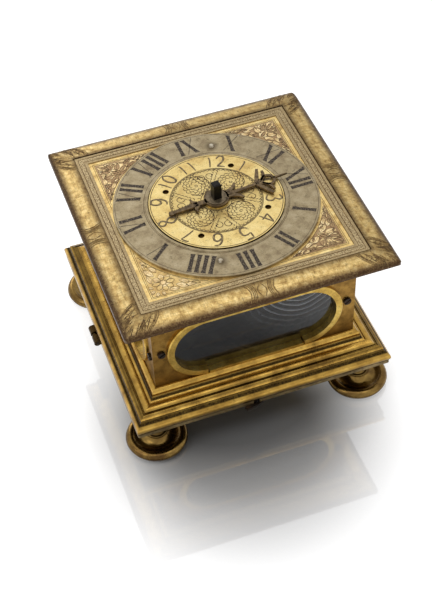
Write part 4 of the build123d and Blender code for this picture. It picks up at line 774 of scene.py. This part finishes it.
# Movement: plates, wheels and barrels of brushed gilt brass, arbors of polished steel, a bell of
# turned bell metal and a gut line. It is clean, because the glass has kept the dust out.
works_brass, tree, shader, place = finish("brushed movement gilt", 1.0, 0.3)
drawn = add(tree, "ShaderNodeMapping", {"Scale": (1.0, 18.0, 1.0), "Vector": place}).outputs[0]
patina(tree, shader, drawn, ("#dcb766", "#c89f4c", "#b08838", "#4a3818"), 20, 2.0, (0.24, 0.36), 0.12)
dress(["upper_plate", "lower_plate", "movement_pillars", "dial_feet", "mainspring_barrel", "fusee_cone",
       "great_wheel", "second_wheel", "contrate_wheel", "crown_wheel", "dial_wheel", "alarm_cam",
       "alarm_barrel", "alarm_escape_wheel", "balance_cock", "crown_bracket"], works_brass)
works_steel, tree, shader, place = finish("polished arbor steel", 1.0, 0.25)
patina(tree, shader, place, ("#a9a8a4", "#8f8d88", "#75726c", "#332f2a"), 6, 0.8, (0.2, 0.32), 0.08)
dress(["fusee_arbor", "second_arbor", "contrate_arbor", "barrel_arbors", "verge_staff", "balance_wheel",
       "alarm_hammer", "pillar_pins", "bell_post"], works_steel)
bell_metal, tree, shader, place = finish("turned bell metal", 1.0, 0.28)
turned = add(tree, "ShaderNodeMapping", {"Scale": (1.0, 1.0, 6.0), "Vector": place}).outputs[0]
patina(tree, shader, turned, ("#c9a878", "#b08d5c", "#927144", "#3f2f1a"), 16, 1.2, (0.22, 0.36), 0.1)
dress(["bell"], bell_metal)
gut, tree, shader, place = finish("twisted gut", 0.0, 0.5)
twist = add(tree, "ShaderNodeTexWave", {"Scale": 500.0, "Distortion": 1.0, "Vector": place})
strand = ramp(tree, twist.outputs["Fac"], [(0.2, "#7a5c34"), (0.8, "#b8935c")])
tree.links.new(strand, shader.inputs["Base Color"])
dress(["fusee_line"], gut)


# Table: a glossy white sheet. It shows white to the camera and in the metal, but near the clock only
# the lamps light it, so the clock's shadow and its mirror image show there. Its colour is greyed
# round the clock as a painted shadow that deepens the real one.
def seen_rays(tree):
    """1 for what the camera sees, straight, in a mirror or through glass, and 0 for light on its way."""
    rays = add(tree, "ShaderNodeLightPath", {}).outputs
    mirrored = maths(tree, "MAXIMUM", rays["Is Glossy Ray"], rays["Is Transmission Ray"])
    return maths(tree, "MAXIMUM", rays["Is Camera Ray"], mirrored)


bpy.ops.mesh.primitive_plane_add(size=6, location=(0, 0, 0))
table = bpy.context.object
table.name = "table"
white_sheet, tree, shader, place = finish("white gloss table", 0.0, 0.03)
shader.inputs["IOR"].default_value = 2.1
shader.inputs["Emission Color"].default_value = (1, 1, 1, 1)
shadow_middle, painted_shadow_middle = (-0.012, -0.065, 0), (-0.005, -0.02, 0)
clear = spread(tree, gap_to(tree, place, shadow_middle), 30 * mm, 100 * mm, 0.0, 0.7, "SMOOTHSTEP")
# Painted shadow: the table's colour is grey close to the clock and white further off.
sheet = ramp(tree, gap_to(tree, place, painted_shadow_middle), [(0.052, "#8e8e8e"), (0.088, "#f2f2f2")])
tree.links.new(sheet, shader.inputs["Base Color"])
tree.links.new(maths(tree, "MULTIPLY", seen_rays(tree), clear), shader.inputs["Emission Strength"])
table.data.materials.append(white_sheet)


# Light: a white room that the metal, the glass and the table mirror, a soft lamp behind that throws
# the shadow towards the viewer, one at the left and a wide one above.
world = bpy.data.worlds.new("pale room")
bpy.context.scene.world = world
world.use_nodes = True
tree = world.node_tree
tree.nodes.clear()
soft = add(tree, "ShaderNodeBackground", {"Color": tone("#f1f2f4"), "Strength": 0.22})
white = add(tree, "ShaderNodeBackground", {"Color": (1, 1, 1, 1), "Strength": 1.0})
both = add(tree, "ShaderNodeMixShader", {0: seen_rays(tree), 1: soft.outputs[0], 2: white.outputs[0]})
add(tree, "ShaderNodeOutputWorld", {"Surface": both.outputs[0]})


def lamp(name, spot, aim, width, power):
    """A square soft lamp that points at a place."""
    data = bpy.data.lights.new(name, "AREA")
    data.size = width
    data.energy = power
    piece = bpy.data.objects.new(name, data)
    piece.location = spot
    piece.rotation_euler = (Vector(aim) - Vector(spot)).to_track_quat("-Z", "Y").to_euler()
    bpy.context.collection.objects.link(piece)


case_middle = (0, 0, 0.05)
lamp("back_lamp", (-0.2, 1.3, 0.65), case_middle, 0.6, 4)
lamp("left_lamp", (-1.1, -0.2, 1.0), case_middle, 0.7, 3)
lamp("top_lamp", (-0.1, 0.0, 1.4), case_middle, 1.3, 6)


# Camera: the photo's view, from the front left and well above. Its focal length is the one fitted to
# the photo, in rows of it.
azimuth, elevation, roll = (math.radians(v) for v in (-17.75, 47.55, -2.67))
distance, aim = 0.5833, Vector((-0.02041, -0.05584, 0.090))
back = Vector((math.sin(azimuth) * math.cos(elevation), -math.cos(azimuth) * math.cos(elevation),
               math.sin(elevation)))
right = (-back).cross(Vector((0, 0, 1))).normalized()
up = right.cross(-back)
level_right = right * math.cos(roll) + up * math.sin(roll)
level_up = up * math.cos(roll) - right * math.sin(roll)
sensor_height, focal_rows, photo_rows = 36.0, 1330, 602
camera_data = bpy.data.cameras.new("photo_view")
camera_data.sensor_fit = "VERTICAL"
camera_data.sensor_height = sensor_height
camera_data.lens = sensor_height * focal_rows / photo_rows
camera = bpy.data.objects.new("photo_view", camera_data)
bpy.context.collection.objects.link(camera)
camera.matrix_world = Matrix((level_right, level_up, back)).transposed().to_4x4()
camera.location = aim + back * distance
bpy.context.scene.camera = camera
bpy.context.scene.view_settings.view_transform = "Standard"
